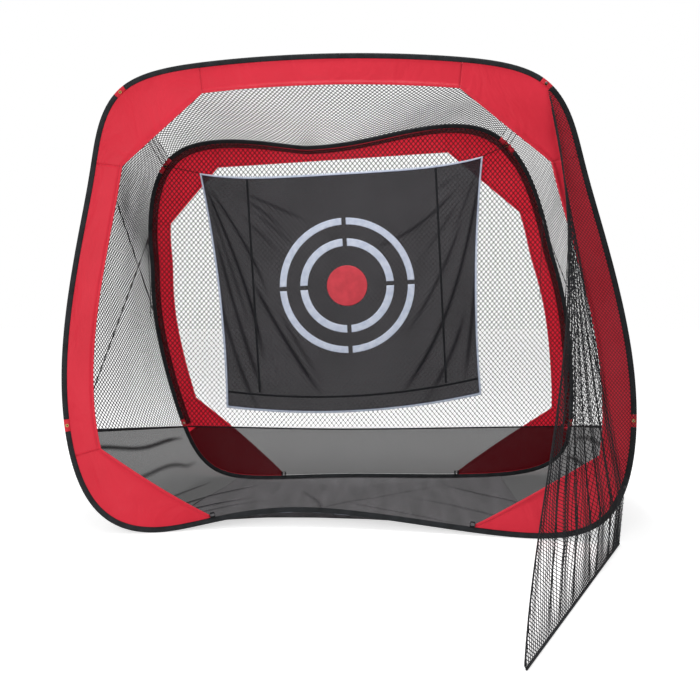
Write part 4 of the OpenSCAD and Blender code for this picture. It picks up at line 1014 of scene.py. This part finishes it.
low = (edge_points[:, 0].min() - BACK_CELL[0], skirt_edge[0][2] - 2 * BACK_CELL[1])
high = (edge_points[:, 0].max() + BACK_CELL[0], edge_points[:, 2].max() + BACK_CELL[1])
back_netting = diamond_net("back_netting", BACK_CELL, low, high, back_cut, before_panels)
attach(back_netting, "back_frame")
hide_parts("back_net")

# ---- Floor mesh and skirts --------------------------------------------------
# The floor and the lowest part of the sides and back are one fine see-through black mesh.
# It lies on the ground and turns up to the hoops, to stop balls that roll.
MESH_T = 0.0008
FLOOR_FALL = 0.16
REST_Z = 0.0012
SETTLE_TOP, SETTLE_LOW = 0.140, 0.050
MESH_STEP, MESH_COLUMNS = 0.0075, 61
FLOOR_WAVE, SKIRT_WAVE = 0.007, 0.006
SETTLE_R, SETTLE_DEPTH = 0.010, 0.006
FOLD_SHADE = 0.9


def streaky_place(tree):
    """Object places drawn out from front to back."""
    return add(tree, "ShaderNodeMapping", {"Vector": object_place(tree), "Scale": (1, 0.14, 1)}).outputs[0]


def painted_shade_in_folds(finish):
    """Cloth darker in its folds, as painted shade, and closer there where it lies in layers; as thin as its
    alpha elsewhere.
    """
    tree, shader = finish.node_tree, shader_of(finish)
    thin = shader.inputs["Alpha"].default_value
    # The fold attribute darkens the colour towards near black: painted shade in the folds.
    depth = add(tree, "ShaderNodeAttribute", attribute_name="fold").outputs["Fac"]
    tone = shader.inputs["Base Color"].links[0].from_socket
    folded = add(tree, "ShaderNodeMixRGB", {"Fac": depth, "Color1": tone, "Color2": dye(16, 15, 19)})
    tree.links.new(folded.outputs[0], shader.inputs["Base Color"])
    layers = add(tree, "ShaderNodeMath", {0: depth, 1: 1 - thin, 2: thin}, operation="MULTIPLY_ADD")
    tree.links.new(layers.outputs[0], shader.inputs["Alpha"])


fine_mesh = dyed("fine_black_mesh", 0.85, (20, 20, 22), (32, 32, 34), 5, 5.0, spot=cut_place,
                 woven=(0.0030, 0.0006), Alpha=0.62, Specular_IOR_Level=0.2)
# The floor's copy of the same black mesh has lighter dyes: painted light where it lies on the ground.
floor_mesh_painted_lighter = dyed("fine_black_mesh_painted_lighter", 0.9, (64, 62, 65), (88, 85, 89), 16, 2.5, spot=streaky_place,
                 woven=(0.0030, 0.0006), Alpha=0.70, Specular_IOR_Level=0.2)
creases(floor_mesh_painted_lighter, 9.0, 0.04, (1, 0.16, 1))
for finish in (fine_mesh, floor_mesh_painted_lighter):
    painted_shade_in_folds(finish)


def keep_painted_fold_shade(sheet, shade):
    """Keeps how deep in a fold each point is on the sheet's two faces, which its finish paints as shade."""
    depths = FOLD_SHADE * np.tile(shade.ravel(), 2).astype(np.float32)
    sheet.data.attributes.new("fold", "FLOAT", "POINT").data.foreach_set("value", depths)


def ground_share(v):
    return np.clip(np.minimum(v / FLOOR_FALL, (1 - v) / FLOOR_FALL), 0, 1)


# Folds that the mesh settles in: place on the hoop, drift towards the back, from and to, strength
SETTLED_FOLDS = ((5.66, 0.03, 0.0, 0.95, 0.8), (5.98, 0.10, 0.0, 0.95, 0.6), (6.22, 1.10, 0.0, 0.9, 0.8),
                 (6.30, 1.80, 0.0, 0.62, 1.0), (6.52, 1.90, 0.0, 0.55, 0.7), (6.15, 0.40, 0.1, 0.9, 0.4),
                 (7.55, 1.20, 0.1, 0.90, 0.4), (8.20, -0.60, 0.1, 0.8, 0.4), (8.90, -1.50, 0.1, 0.55, 0.5),
                 (9.45, -1.70, 0.0, 0.60, 0.6), (9.75, -1.20, 0.0, 0.9, 0.6), (10.20, -0.20, 0.0, 0.95, 0.7),
                 (10.42, -0.04, 0.0, 0.95, 0.6))


def settled(s, v, p):
    """How deep in a fold each point of a mesh with places s and shares v is, for the fold's relief and its
    painted shade.
    """
    metres = np.linalg.norm(np.gradient(p, axis=0), axis=-1) / np.gradient(s)[:, None]
    shade = 0.0
    for start, drift, begin, end, strength in SETTLED_FOLDS:
        off = (s[:, None] - start - drift * v - 0.03 * np.sin(9 * v + start * 5)) * metres
        shown = strength * np.clip((v - begin) / 0.1, 0, 1) * np.clip((end - v) / 0.15, 0, 1)
        shade = np.maximum(shade, shown * np.exp(-(off / SETTLE_R) ** 2))
    return shade


def mesh_grid(a, b, on_floor, seed):
    """Grid of floor mesh or skirt: down to the ground near the hoops, rumpled between."""
    s = stations(FRONT, a, b, MESH_STEP)
    v = np.linspace(0, 1, MESH_COLUMNS)
    p = thread(s[:, None], v[None, :])
    k = np.broadcast_to(ground_share(v)[None], p.shape[:2])
    if not on_floor:
        k = k * np.clip((SETTLE_TOP - p[..., 2]) / (SETTLE_TOP - SETTLE_LOW), 0, 1)
    k = k * k * (3 - 2 * k)
    p[..., 2] = mix(p[..., 2], REST_Z, k)
    wave = 0.5 + 0.5 * ripple(p[..., 0] * 2.2, p[..., 1] * 2.2, seed)
    loose = np.clip(4 * v * (1 - v), 0, 1)[None]
    if on_floor:
        p[..., 2] += FLOOR_WAVE * wave ** 2 * loose
    else:
        p += out(FRONT, s)[:, None] * (-SKIRT_WAVE * wave * loose * (p[..., 2] > 10 * REST_Z))[..., None]
    shade = settled(s, v[None], p)
    p = p - out(FRONT, s)[:, None] * (SETTLE_DEPTH * shade * loose)[..., None]
    p[..., 2] = np.maximum(p[..., 2], REST_Z)
    return p, shade


FOOT_S = (6 + 5 / 6, 9 + 1 / 6)
# Part, from and to on the front hoop, on the floor or not, its own waves, and where it gathers
MESHES = (("left_skirt", SKIRT_TOP[0] + 0.001, FOOT_S[0] - 0.001, False, 6, -0.56, 0.52),
          ("right_skirt", FOOT_S[1] + 0.001, SKIRT_TOP[1] - 0.001, False, 7, -0.56, 0.52),
          ("floor_mesh", FOOT_S[0], FOOT_S[1], True, 8, -0.42, 0.27))
for part, a, b, on_floor, seed, front_y, back_y in MESHES:
    grid, shade = mesh_grid(a, b, on_floor, seed)
    finish = floor_mesh_painted_lighter if on_floor else fine_mesh
    sheet = cloth(part.replace("_mesh", "") + "_fine_mesh", grid, MESH_T, finish)
    # The mesh is painted darker along its settled folds: painted shade.
    keep_painted_fold_shade(sheet, shade)
    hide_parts(part)
    gather(sheet, front_y, back_y)

BACK_STEP = 0.014
s = stations(BACK, SKIRT_TOP[0] + 0.03, SKIRT_TOP[1] - 0.03, BACK_STEP)
edge = at(BACK, s, SLEEVE_MOUTH, -NET_EDGE_W)
rise_share = (skirt_z(edge[:, 0] * 0.75) - edge[:, 2]) / (BACK_CENTRE[2] - edge[:, 2])
keep = rise_share > 0.03
edge, rise_share = edge[keep], rise_share[keep]
shares = rise_share[:, None] * np.linspace(0, 1, 17)[None]
points = mix(edge[:, None], BACK_CENTRE, shares[..., None])
stand = mix(NET_EDGE_W, NET_STAND, np.clip(shares / STAND_SHARE, 0, 1))
grid = filled(BACK, points)
grid[..., 1] -= stand
grid[:, 0] = edge
back_mesh = cloth("back_fine_mesh", grid, MESH_T, fine_mesh)
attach(back_mesh, "back_frame")
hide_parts("back_skirt")

JOINT_OFF = 0.0034
for side in (0, 1):
    s = SKIRT_TOP[side] + np.linspace(-0.013, 0.013, 5)[:, None]
    grid = thread(s, np.linspace(0.004, 0.996, 49)[None]) - JOINT_OFF * out(FRONT, s)
    joint = cloth(("left", "right")[side] + "_net_joint_tape", grid, MESH_T, webbing)
    gather(joint, **FOLDS)
x = np.linspace(skirt_edge[0][0] + 0.016, skirt_edge[1][0] - 0.016, 161)[:, None]
grid = before_panels(x, skirt_z(x) + np.linspace(-0.004, 0.004, 5)[None]) - (0, JOINT_OFF, 0)
back_joint = cloth("back_net_joint_tape", grid, MESH_T, webbing)
s = stations(BACK, SKIRT_TOP[1] + 0.005, TURN + SKIRT_TOP[0] - 0.005, BACK_STEP)
start = at(BACK, s, SLEEVE_MOUTH - 0.0005, -NET_EDGE_W)[:, None]
points = mix(start, BACK_CENTRE, np.linspace(0, 0.026, 6)[None, :, None])
grid = before_panels(points[..., 0], points[..., 2]) - (0, 0.0032, 0)
selvedge = cloth("back_net_selvedge", grid, MESH_T, fine_mesh)
for piece, slot in ((back_joint, "black_tape"), (selvedge, "black_net")):
    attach(piece, "back_frame")

# ---- Corner cords, brace straps and buckles ---------------------------------
# Two braided cords tie each top corner of the hoops together, from eyelet to eyelet.
# Flat webbing straps cross on each side, one of them through a moulded ladder buckle.
CORD_R = 0.002
CORD_IN, CORD_SEAT, CORD_PAIR = 0.0105, 0.0082, 0.012
braid = dyed("black_braid", 0.75, (16, 17, 19), (28, 29, 32), 90, woven=(0.0021, 0.0006, 40),
             Specular_IOR_Level=0.2)
cords = []
for i in (0, 3):
    for side in (-1, 1):
        a = stretch_point(stretch(FRONT, PATCH_SPAN[i]), -CORD_IN, CORD_SEAT, side * CORD_PAIR)
        b = stretch_point(stretch(BACK, PATCH_SPAN[i]), -CORD_IN, -CORD_SEAT, side * CORD_PAIR)
        path = mix(a, b, np.linspace(0, 1, 61)[:, None])
        cords.append(tube("cord", round_rings(path, CORD_R), braid))
joined(cords, "corner_cord_braid")
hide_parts("corner_cords")
gather(cords[0], **FOLDS)


WELD = 0.00002


def worked_copy(name, node, finish, bevel, segments=2):
    """A copy of a solid with its triangles merged and its edges rounded."""
    mesh = nodes[node].data.copy()
    shell = bmesh.new()
    shell.from_mesh(mesh)
    bmesh.ops.remove_doubles(shell, verts=shell.verts, dist=WELD)
    bmesh.ops.dissolve_limit(shell, angle_limit=0.02, verts=shell.verts, edges=shell.edges)
    shell.to_mesh(mesh)
    shell.free()
    piece = new_object(name, mesh)
    mesh.materials.clear()
    mesh.materials.append(finish)
    edge_maker = piece.modifiers.new("edge", "BEVEL")
    edge_maker.width = bevel
    edge_maker.segments = segments
    edge_maker.limit_method = "ANGLE"
    made_plain(piece)
    return piece


strap_web = dyed("black_strap_webbing", 0.8, (16, 17, 19), (28, 29, 32), 50, woven=(0.0016, 0.0004, 45),
                 weave_spot=object_place, Specular_IOR_Level=0.18)
straps = worked_copy("brace_strap_webbing", "brace_straps", strap_web, 0.0004)
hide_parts("brace_straps")
gather(straps, -0.50, 0.15)
moulded = dyed("black_acetal", 0.38, (22, 23, 25), (32, 33, 36), 120, Coat_Weight=0.15)
for side in ("left", "right"):
    buckle = worked_copy(side + "_ladder_buckle", side + "_buckle", moulded, 0.0005, 3)
    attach(buckle, side + "_buckle")
    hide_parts(side + "_buckle")

# ---- Target -----------------------------------------------------------------
# A sheet of dark mesh cloth, bound in pale tape, hangs by two ties from the back hoop.
# Pale cloth rings and a red bullseye are sewn on, and it falls in folds from its corners.
TIE_R = 1.4 * 2 * CORD_R
TARGET_TOP_W, TARGET_BOTTOM_W, TARGET_H = 1.580, 1.444, 1.324
TARGET_DROP, TARGET_SHIFT = 0.050, 0.028
SAG, BELLY, WAIST = 0.044, 0.062, 0.030
RING_Z = -TARGET_DROP - 0.672
ties = [stretch_point(stretch(BACK, PATCH_SPAN[i]), -EYELET_IN, -(EYELET_FACE + CLEAR + TIE_R))
        for i in (0, 3)]
tie_mid = (ties[0] + ties[1]) / 2
target_x = unit(ties[1] - ties[0])
target_z = unit(np.array([0, 0, 1]) - target_x * target_x[2])
target_y = np.cross(target_z, target_x)


def half_width(k, e=0.0):
    return mix(TARGET_TOP_W, TARGET_BOTTOM_W, k) / 2 - 4 * WAIST * k * (1 - k) - e


def top_z(q):
    return -TARGET_DROP - SAG * (1 - q ** 4)


def bottom_z_at(q):
    return -TARGET_DROP - TARGET_H - BELLY * (1 - q * q)


FOLD_NARROW, FOLD_WIDENS, FOLD_HEIGHT = 0.0065, 0.004, 0.0060
BILLOW = 0.0025
# Folds of the sheet: side, angle under the top edge, bend, where it begins and ends, strength
FOLD_LINES = ((-1, 69.5, 4, 0.05, 1.12, 1.0), (-1, 59, 8, 0.08, 0.80, 0.9),
              (-1, 79.5, -1.4, 0.35, 1.32, 0.8), (-1, 86, -3.5, 0.45, 1.42, 0.7),
              (-1, 27, 0, 0.22, 0.70, 0.6), (-1, 31, 20, 0.22, 0.62, 0.6), (-1, 48, 0, 0.28, 0.68, 0.5),
              (-1, 68, -1.8, 0.65, 1.45, 1.0), (-1, 64, -0.6, 0.85, 1.38, 0.5),
              (-1, 38, 6, 0.30, 0.75, 0.4), (-1, 75, 0, 0.15, 0.90, 0.5), (1, 66, 0, 0.06, 0.50, 0.5),
              (1, 78, -5.0, 0.12, 1.42, 1.0), (1, 84.5, -1.2, 0.25, 1.27, 0.8),
              (1, 85, -5.6, 0.85, 1.44, 0.8), (1, 49, -20, 0.20, 0.80, 0.8), (1, 33, 0, 0.12, 0.45, 0.4),
              (1, 70, -5.5, 0.35, 1.08, 0.7), (1, 59, -8, 0.25, 0.70, 0.5))


def folds_at(x, z):
    """How far the folds stand forward at x and z on the sheet, and how deep in a fold that is, for its
    painted shade.
    """
    rise, shade = 0.0, 0.0
    for side, angle, bend, begin, end, strength in FOLD_LINES:
        dx = (TARGET_SHIFT + side * TARGET_TOP_W / 2 - x) * side
        dz = -TARGET_DROP - z
        far = np.hypot(dx, dz)
        turn = np.degrees(np.arctan2(dz, np.maximum(dx, 1e-6)))
        off = far * np.radians(turn - angle - bend * far * far)
        width = FOLD_NARROW + FOLD_WIDENS * far
        shown = strength * np.clip((far - begin) / 0.14, 0, 1) * np.clip((end - far) / 0.2, 0, 1)
        height = FOLD_HEIGHT * math.sin(math.radians(angle)) ** 2
        rise = rise + height * shown * np.exp(-((off - 1.2 * width) / (1.3 * width)) ** 2)
        shade = np.maximum(shade, shown * np.exp(-(off / width) ** 2))
    return rise, shade


def fall(x, z):
    """How far the sheet stands forward at x and z on it."""
    loose = np.clip((-TARGET_DROP - z) / 0.3, 0, 1)
    return BILLOW * (1 + ripple(x * 1.4, z * 0.7, 9)) * loose + folds_at(x, z)[0]


def on_target(x, z, y=0.0):
    """A place on the hung sheet: x along the ties, z up, and y towards the back of it."""
    depth = y - fall(x, z)
    return (tie_mid + np.asarray(x)[..., None] * target_x + np.asarray(z)[..., None] * target_z
            + np.asarray(depth)[..., None] * target_y)


def sheet_grid(columns, rows, e):
    q = np.linspace(-1, 1, columns)[:, None]
    k = np.linspace(0, 1, rows)[None, :]
    x = TARGET_SHIFT + q * half_width(k, e)
    return x, mix(top_z(q) - e, bottom_z_at(q) + e, k)


target_cloth = dyed("dark_mesh_cloth", 0.85, (42, 40, 44), (54, 52, 56), 4, 4.0, spot=cut_place,
                    woven=(0.0032, 0.0006), Alpha=0.80, Specular_IOR_Level=0.2)
painted_shade_in_folds(target_cloth)
pale_tape = dyed("pale_binding", 0.6, (186, 196, 216), (206, 214, 230), 30, woven=(0.0016, 0.0003),
                 weave_spot=object_place, Sheen_Weight=0.1)
red_cloth = dyed("red_bullseye_cloth", 0.6, (190, 36, 52), (206, 46, 62), 20, woven=(0.0016, 0.0003),
                 weave_spot=object_place, Sheen_Weight=0.1)
# The binding is sewn with thick dark navy thread that also stands in for the shade line along its inner edge:
# partly painted shade.
navy_shade_line_thread = dyed("navy_thread_painted_shade_line", 0.7, (34, 42, 76), (50, 60, 98), 300)

SHEET_T, SHEET_IN = 0.0012, 0.011
BINDING_LINE = (0.0122, -0.0010)
# The thread is this thick so that it makes the painted shade line.
BINDING_PITCH, BINDING_THREAD_R = 0.012, 0.0016
x, z = sheet_grid(301, 145, SHEET_IN)
grid = on_target(x, z)
target_sheet = cloth("target_dark_sheet", grid, SHEET_T, target_cloth)
# The sheet is painted darker along its folds: painted shade.
keep_painted_fold_shade(target_sheet, folds_at(x, z)[1])
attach(target_sheet, "target")
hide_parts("target_sheet")

sweep_q = np.linspace(-1, 1, 121)[:-1]
sweep_k = np.linspace(0, 1, 101)[:-1]


def outline(e):
    """The sheet's outline, e inside its edge, as x and z."""
    high, deep = -TARGET_DROP - e, -TARGET_DROP - TARGET_H + e
    top = (TARGET_SHIFT + sweep_q * half_width(0, e), top_z(sweep_q) - e)
    right = (TARGET_SHIFT + half_width(sweep_k, e), mix(high, deep, sweep_k))
    low = (TARGET_SHIFT - sweep_q * half_width(1, e), bottom_z_at(sweep_q) + e)
    left = (TARGET_SHIFT - half_width(1 - sweep_k, e), mix(high, deep, 1 - sweep_k))
    return (np.concatenate(v) for v in zip(top, right, low, left))


BINDING = ((0, 0), (0.0006, 0.0010), (0.006, 0.0014), (0.0112, 0.0012), (0.012, 0.0009), (0.012, -0.0009),
           (0.0112, -0.0012), (0.006, -0.0014), (0.0006, -0.0010))
rings = np.stack([on_target(*outline(e), y) for e, y in BINDING], axis=1)
binding = tube("target_pale_binding", rings, pale_tape, looped=True)
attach(binding, "target")
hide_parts("target_binding")
stitch_line = on_target(*outline(BINDING_LINE[0]), BINDING_LINE[1])
binding_line = sew("target_binding_stitches", [stitch_line], navy_shade_line_thread, BINDING_PITCH, BINDING_THREAD_R)
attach(binding_line, "target")

PRINT_T = 0.0006
PRINT_Y = -(SHEET_T / 2 + PRINT_T / 2 + CLEAR)
RINGS = (("large", 0.378, 0.038), ("small", 0.263, 0.042))
RING_GAP = 0.024
RING_PITCH, RING_THREAD_R = 0.006, 0.0003
prints = []
for name, radius, width in RINGS:
    quarters, rows = [], []
    for quarter in range(4):
        r = np.linspace(radius - width, radius, 11)[:, None]
        gap = np.arcsin(RING_GAP / 2 / r)
        turn = quarter * math.pi / 2 + gap + (math.pi / 2 - 2 * gap) * np.linspace(0, 1, 81)[None]
        x, z = TARGET_SHIFT + r * np.cos(turn), RING_Z + r * np.sin(turn)
        quarters.append(cloth(f"{name}_quarter", on_target(x, z, PRINT_Y), PRINT_T, pale_tape))
        rows += [on_target(x[i], z[i], PRINT_Y - PRINT_T / 2) for i in (1, -2)]
    joined(quarters, f"target_{name}_ring_cloth")
    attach(quarters[0], "target")
    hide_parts(f"target_{name}_ring")
    prints += [quarters[0], sew(f"target_{name}_ring_stitches", rows, pale_tape, RING_PITCH, RING_THREAD_R)]
    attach(prints[-1], "target")

BULL_R = 0.113
a, b = np.meshgrid(np.linspace(-1, 1, 41), np.linspace(-1, 1, 41), indexing="ij")
x = TARGET_SHIFT + BULL_R * a * np.sqrt(1 - b * b / 2)
z = RING_Z + BULL_R * b * np.sqrt(1 - a * a / 2)
bull = cloth("target_red_bullseye", on_target(x, z, PRINT_Y), PRINT_T, red_cloth)
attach(bull, "target")
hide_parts("target_bullseye")

SEAM_W = 0.012
SEAM_IN, SEAM_UP = 0.200, 0.098
BACK_SEAM_W = 0.0105
seam_x = half_width(0.5) - SEAM_IN
seam_top = top_z(seam_x / half_width(0)) - 0.016
seam_low = bottom_z_at(seam_x / half_width(1)) + SEAM_UP + 0.008
strips = []
for face, wide in ((1, SEAM_W), (-1, BACK_SEAM_W)):
    across = np.linspace(-wide / 2, wide / 2, 5)[:, None]
    for side in (-1, 1):
        z = np.linspace(seam_top, seam_low, 161)[None]
        x = TARGET_SHIFT + side * seam_x + across + 0 * z
        strips.append(cloth("seam", on_target(x, z + 0 * across, -face * PRINT_Y), PRINT_T, webbing))
    q = np.linspace(-1, 1, 161)[None]
    x = TARGET_SHIFT + q * half_width(0.9, 0.014) + 0 * across
    z = bottom_z_at(q) + SEAM_UP - SEAM_W / 2 + across
    strips.append(cloth("seam", on_target(x, z, -face * PRINT_Y), PRINT_T, webbing))
joined(strips, "target_seam_tape")
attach(strips[0], "target")
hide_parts("target_seams")

TIE_CORD_R = 0.0020
# The tie's knot: places along the tie and how thick it is there
TIE_KNOT = ((-0.0056, 0.0012), (-0.0045, 0.0036), (-0.002, 0.0050), (0.0005, 0.0052), (0.003, 0.0044),
            (0.005, 0.0022), (0.0056, TIE_CORD_R))
tie_cords = []
for side, tie in ((-1, ties[0]), (1, ties[1])):
    corner = on_target(np.array(TARGET_SHIFT + side * half_width(0)), np.array(-TARGET_DROP))
    far = np.linalg.norm(corner - tie)
    run = (corner - tie) / far
    straight = [(d, TIE_CORD_R) for d in np.linspace(0.012, far - 0.0005, 12)]
    steps, radius = np.array([*TIE_KNOT, *straight]).T
    tie_cords.append(tube("tie", round_rings(tie + run * steps[:, None], radius), braid))
joined(tie_cords, "target_tie_cord")
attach(tie_cords[0], "target")
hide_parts("target_ties")

# ---- Wing net ---------------------------------------------------------------
# A second net hangs from the front hoop's right top eyelet down to the foot, and its tip
# is pulled forward on the ground. Its front and hem are laced to thick black cords.
TOGGLE_R = 0.006
WING_CORD_R = 0.003
GROUND_GAP = 0.0002
KNEE = 0.85
WING_CELL, WING_STRAND_R = (0.028, 0.018), 0.0015
REAR_GAP, CORD_GAP, NET_LIFT = 0.0013, 0.0008, 0.0045
PLEATS, PLEAT_DEPTH = 13, 0.009
wing_top = stretch_point(stretch(FRONT, PATCH_SPAN[3]), -EYELET_IN, -(EYELET_FACE + CLEAR + TOGGLE_R))
wing_foot = at(FRONT, np.array(10.11), 0, -(HALF_T + CLEAR + TOGGLE_R))
wing_heel = np.array([wing_foot[0] - 0.034, wing_foot[1] - 0.050, WING_CORD_R + GROUND_GAP])
wing_tip = np.array([0.508, FOOT_Y[FRONT] - 1.215, WING_CORD_R + GROUND_GAP])
edge_frame = [wing_top, mix(wing_top, wing_tip, 0.36) + (0.300, 0.228, -0.202),
              mix(wing_top, wing_tip, 0.72) + (0.124, 0.602, -0.306), wing_tip]


def front_edge(k):
    k = np.asarray(k, float)[..., None]
    p = edge_frame
    return (p[0] * (1 - k) ** 3 + p[1] * 3 * k * (1 - k) ** 2 + p[2] * 3 * k * k * (1 - k) + p[3] * k ** 3)


def rear_edge(k):
    k = np.asarray(k, float)[..., None]
    return np.where(k < KNEE, mix(wing_top, wing_foot, np.minimum(k / KNEE, 1)),
                    mix(wing_foot, wing_heel, np.clip((k - KNEE) / (1 - KNEE), 0, 1)))


rows = np.linspace(0.055, 1, 300)
rear, fore = rear_edge(rows), front_edge(rows)
row_gap = fore - rear
row_width = np.linalg.norm(row_gap, axis=-1)
across = unit(row_gap)
rear = rear + across * REAR_GAP
fore = fore - across * (WING_CORD_R + CORD_GAP)
fall_length = lengths((rear + fore) / 2)
fullness = mix(1.5, 1.0, np.clip(fall_length / fall_length[-1], 0, 1) ** 0.6)
cut_width = row_width * fullness


def at_rows(d, places, points):
    """The points of a table of rows, taken at the places d between them."""
    return np.stack([np.interp(d, places, points[:, n]) for n in range(3)], axis=-1)


def wing_space(d, c):
    """Down the wing by d and across by c of the flat cut, in soft pleats."""
    k = np.interp(d, fall_length, rows)
    wide = np.interp(d, fall_length, cut_width)
    q = np.clip(c / wide, 0, 1)
    a, b = at_rows(d, fall_length, rear), at_rows(d, fall_length, fore)
    p = mix(a, b, q[..., None])
    side = unit(np.cross(b - a, np.array([0, 0, 1.0])))
    depth = np.interp(d, fall_length, row_width) * PLEAT_DEPTH
    wander = 1.6 * ripple(d * 0.5, q * 1.5, 11)
    phase = q * 2 * math.pi * PLEATS
    wave = np.sin(phase * 0.6 + wander) + 0.6 * np.sin(phase + 2 * wander)
    held = np.clip(q * 7, 0, 1) * np.clip((1 - q) * 6, 0, 1) * np.clip((1 - k) / 0.16, 0, 1)
    p = p + side * (depth * wave * held)[..., None]
    lowest = WING_CORD_R + NET_LIFT
    p[..., 2] = np.maximum(p[..., 2], lowest * np.clip((k - 0.9) / 0.1, 0, 1))
    return p


def wing_cut(d, c):
    return (d >= 0) & (d <= fall_length[-1]) & (c >= 0) & (c <= np.interp(d, fall_length, cut_width))


wing_net = diamond_net("wing_netting", WING_CELL, (0, 0),
                       (fall_length[-1] + WING_CELL[0], cut_width.max() + WING_CELL[1]), wing_cut, wing_space,
                       WING_STRAND_R)
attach(wing_net, "wing")
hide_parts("wing_net")

STRIP_CELL, STRIP_STRAND_R = (0.017, 0.014), 0.0011
STRIP_SEAT, HINGE_LAP = 0.005, 0.0011
s_table = np.linspace(10.19, 13.78, 300)
strip_in = at(FRONT, s_table, 0.0085, -0.0089)
strip_mid = at(FRONT, s_table, 0.005, -0.0100)
k = np.clip((wing_top[2] - strip_mid[:, 2]) / (wing_top[2] - wing_foot[2]), 0.02, 0.98)[:, None]
hinge_line = mix(wing_top, wing_foot, k)
hinge_line = hinge_line + unit(strip_mid - hinge_line) * HINGE_LAP
strip_run = lengths(strip_mid)
strip_width = np.linalg.norm(hinge_line - strip_mid, axis=-1) + STRIP_SEAT


def strip_space(d, c):
    """Along the strip by d and across by c: laid over the sleeve first, then out to the hinge line."""
    inner, mid, outer = (at_rows(d, strip_run, points) for points in (strip_in, strip_mid, hinge_line))
    wide = np.interp(d, strip_run, strip_width)[..., None] - STRIP_SEAT
    c = c[..., None]
    return np.where(c < STRIP_SEAT, mix(inner, mid, np.clip(c / STRIP_SEAT, 0, 1)),
                    mix(mid, outer, np.clip((c - STRIP_SEAT) / wide, 0, 1)))


def strip_cut(d, c):
    return (d >= 0) & (d <= strip_run[-1]) & (c >= 0) & (c <= np.interp(d, strip_run, strip_width))


edge_strip = diamond_net("wing_strip_netting", STRIP_CELL, (0, 0),
                         (strip_run[-1] + STRIP_CELL[0], strip_width.max() + STRIP_CELL[1]), strip_cut,
                         strip_space, STRIP_STRAND_R)
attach(edge_strip, "front_frame")
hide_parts("wing_edge_strip")


ROPE_SIDES, ROPE_LAY, ROPE_RELIEF = 16, 0.03, 0.07
LASH_PITCH, LASH_R, LASH_UP = 0.021, 0.0050, 0.0022


def twisted(path, name):
    """A laid rope: a round cord whose section has three lobes that turn along it."""
    rings = round_rings(path, WING_CORD_R, ROPE_SIDES)
    centre = path[:, None]
    turn = (np.arange(ROPE_SIDES)[None] / ROPE_SIDES + lengths(path)[:, None] / ROPE_LAY) * 2 * math.pi
    lobes = 1 + ROPE_RELIEF * np.cos(3 * turn)
    return tube(name, centre + (rings - centre) * lobes[..., None] * (1 - ROPE_RELIEF), braid)


front_rope = twisted(front_edge(np.linspace(0.022, 0.992, 420)), "wing_front_rope")
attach(front_rope, "wing")
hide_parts("wing_front_cord")
hem_end = wing_tip + unit(wing_heel - wing_tip) * 0.016
hem_rope = twisted(mix(wing_heel, hem_end, np.linspace(0, 1, 320)[:, None]), "wing_hem_rope")
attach(hem_rope, "wing")
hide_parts("wing_hem_cord")
lash_line = mix(wing_heel, hem_end, np.linspace(0.012, 0.99, 120)[:, None]) + (0, 0, LASH_UP)
lashing = sew("wing_rope_lashing", [lash_line], braid, LASH_PITCH, LASH_R)
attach(lashing, "wing")
repaint("wing_toggles", moulded)
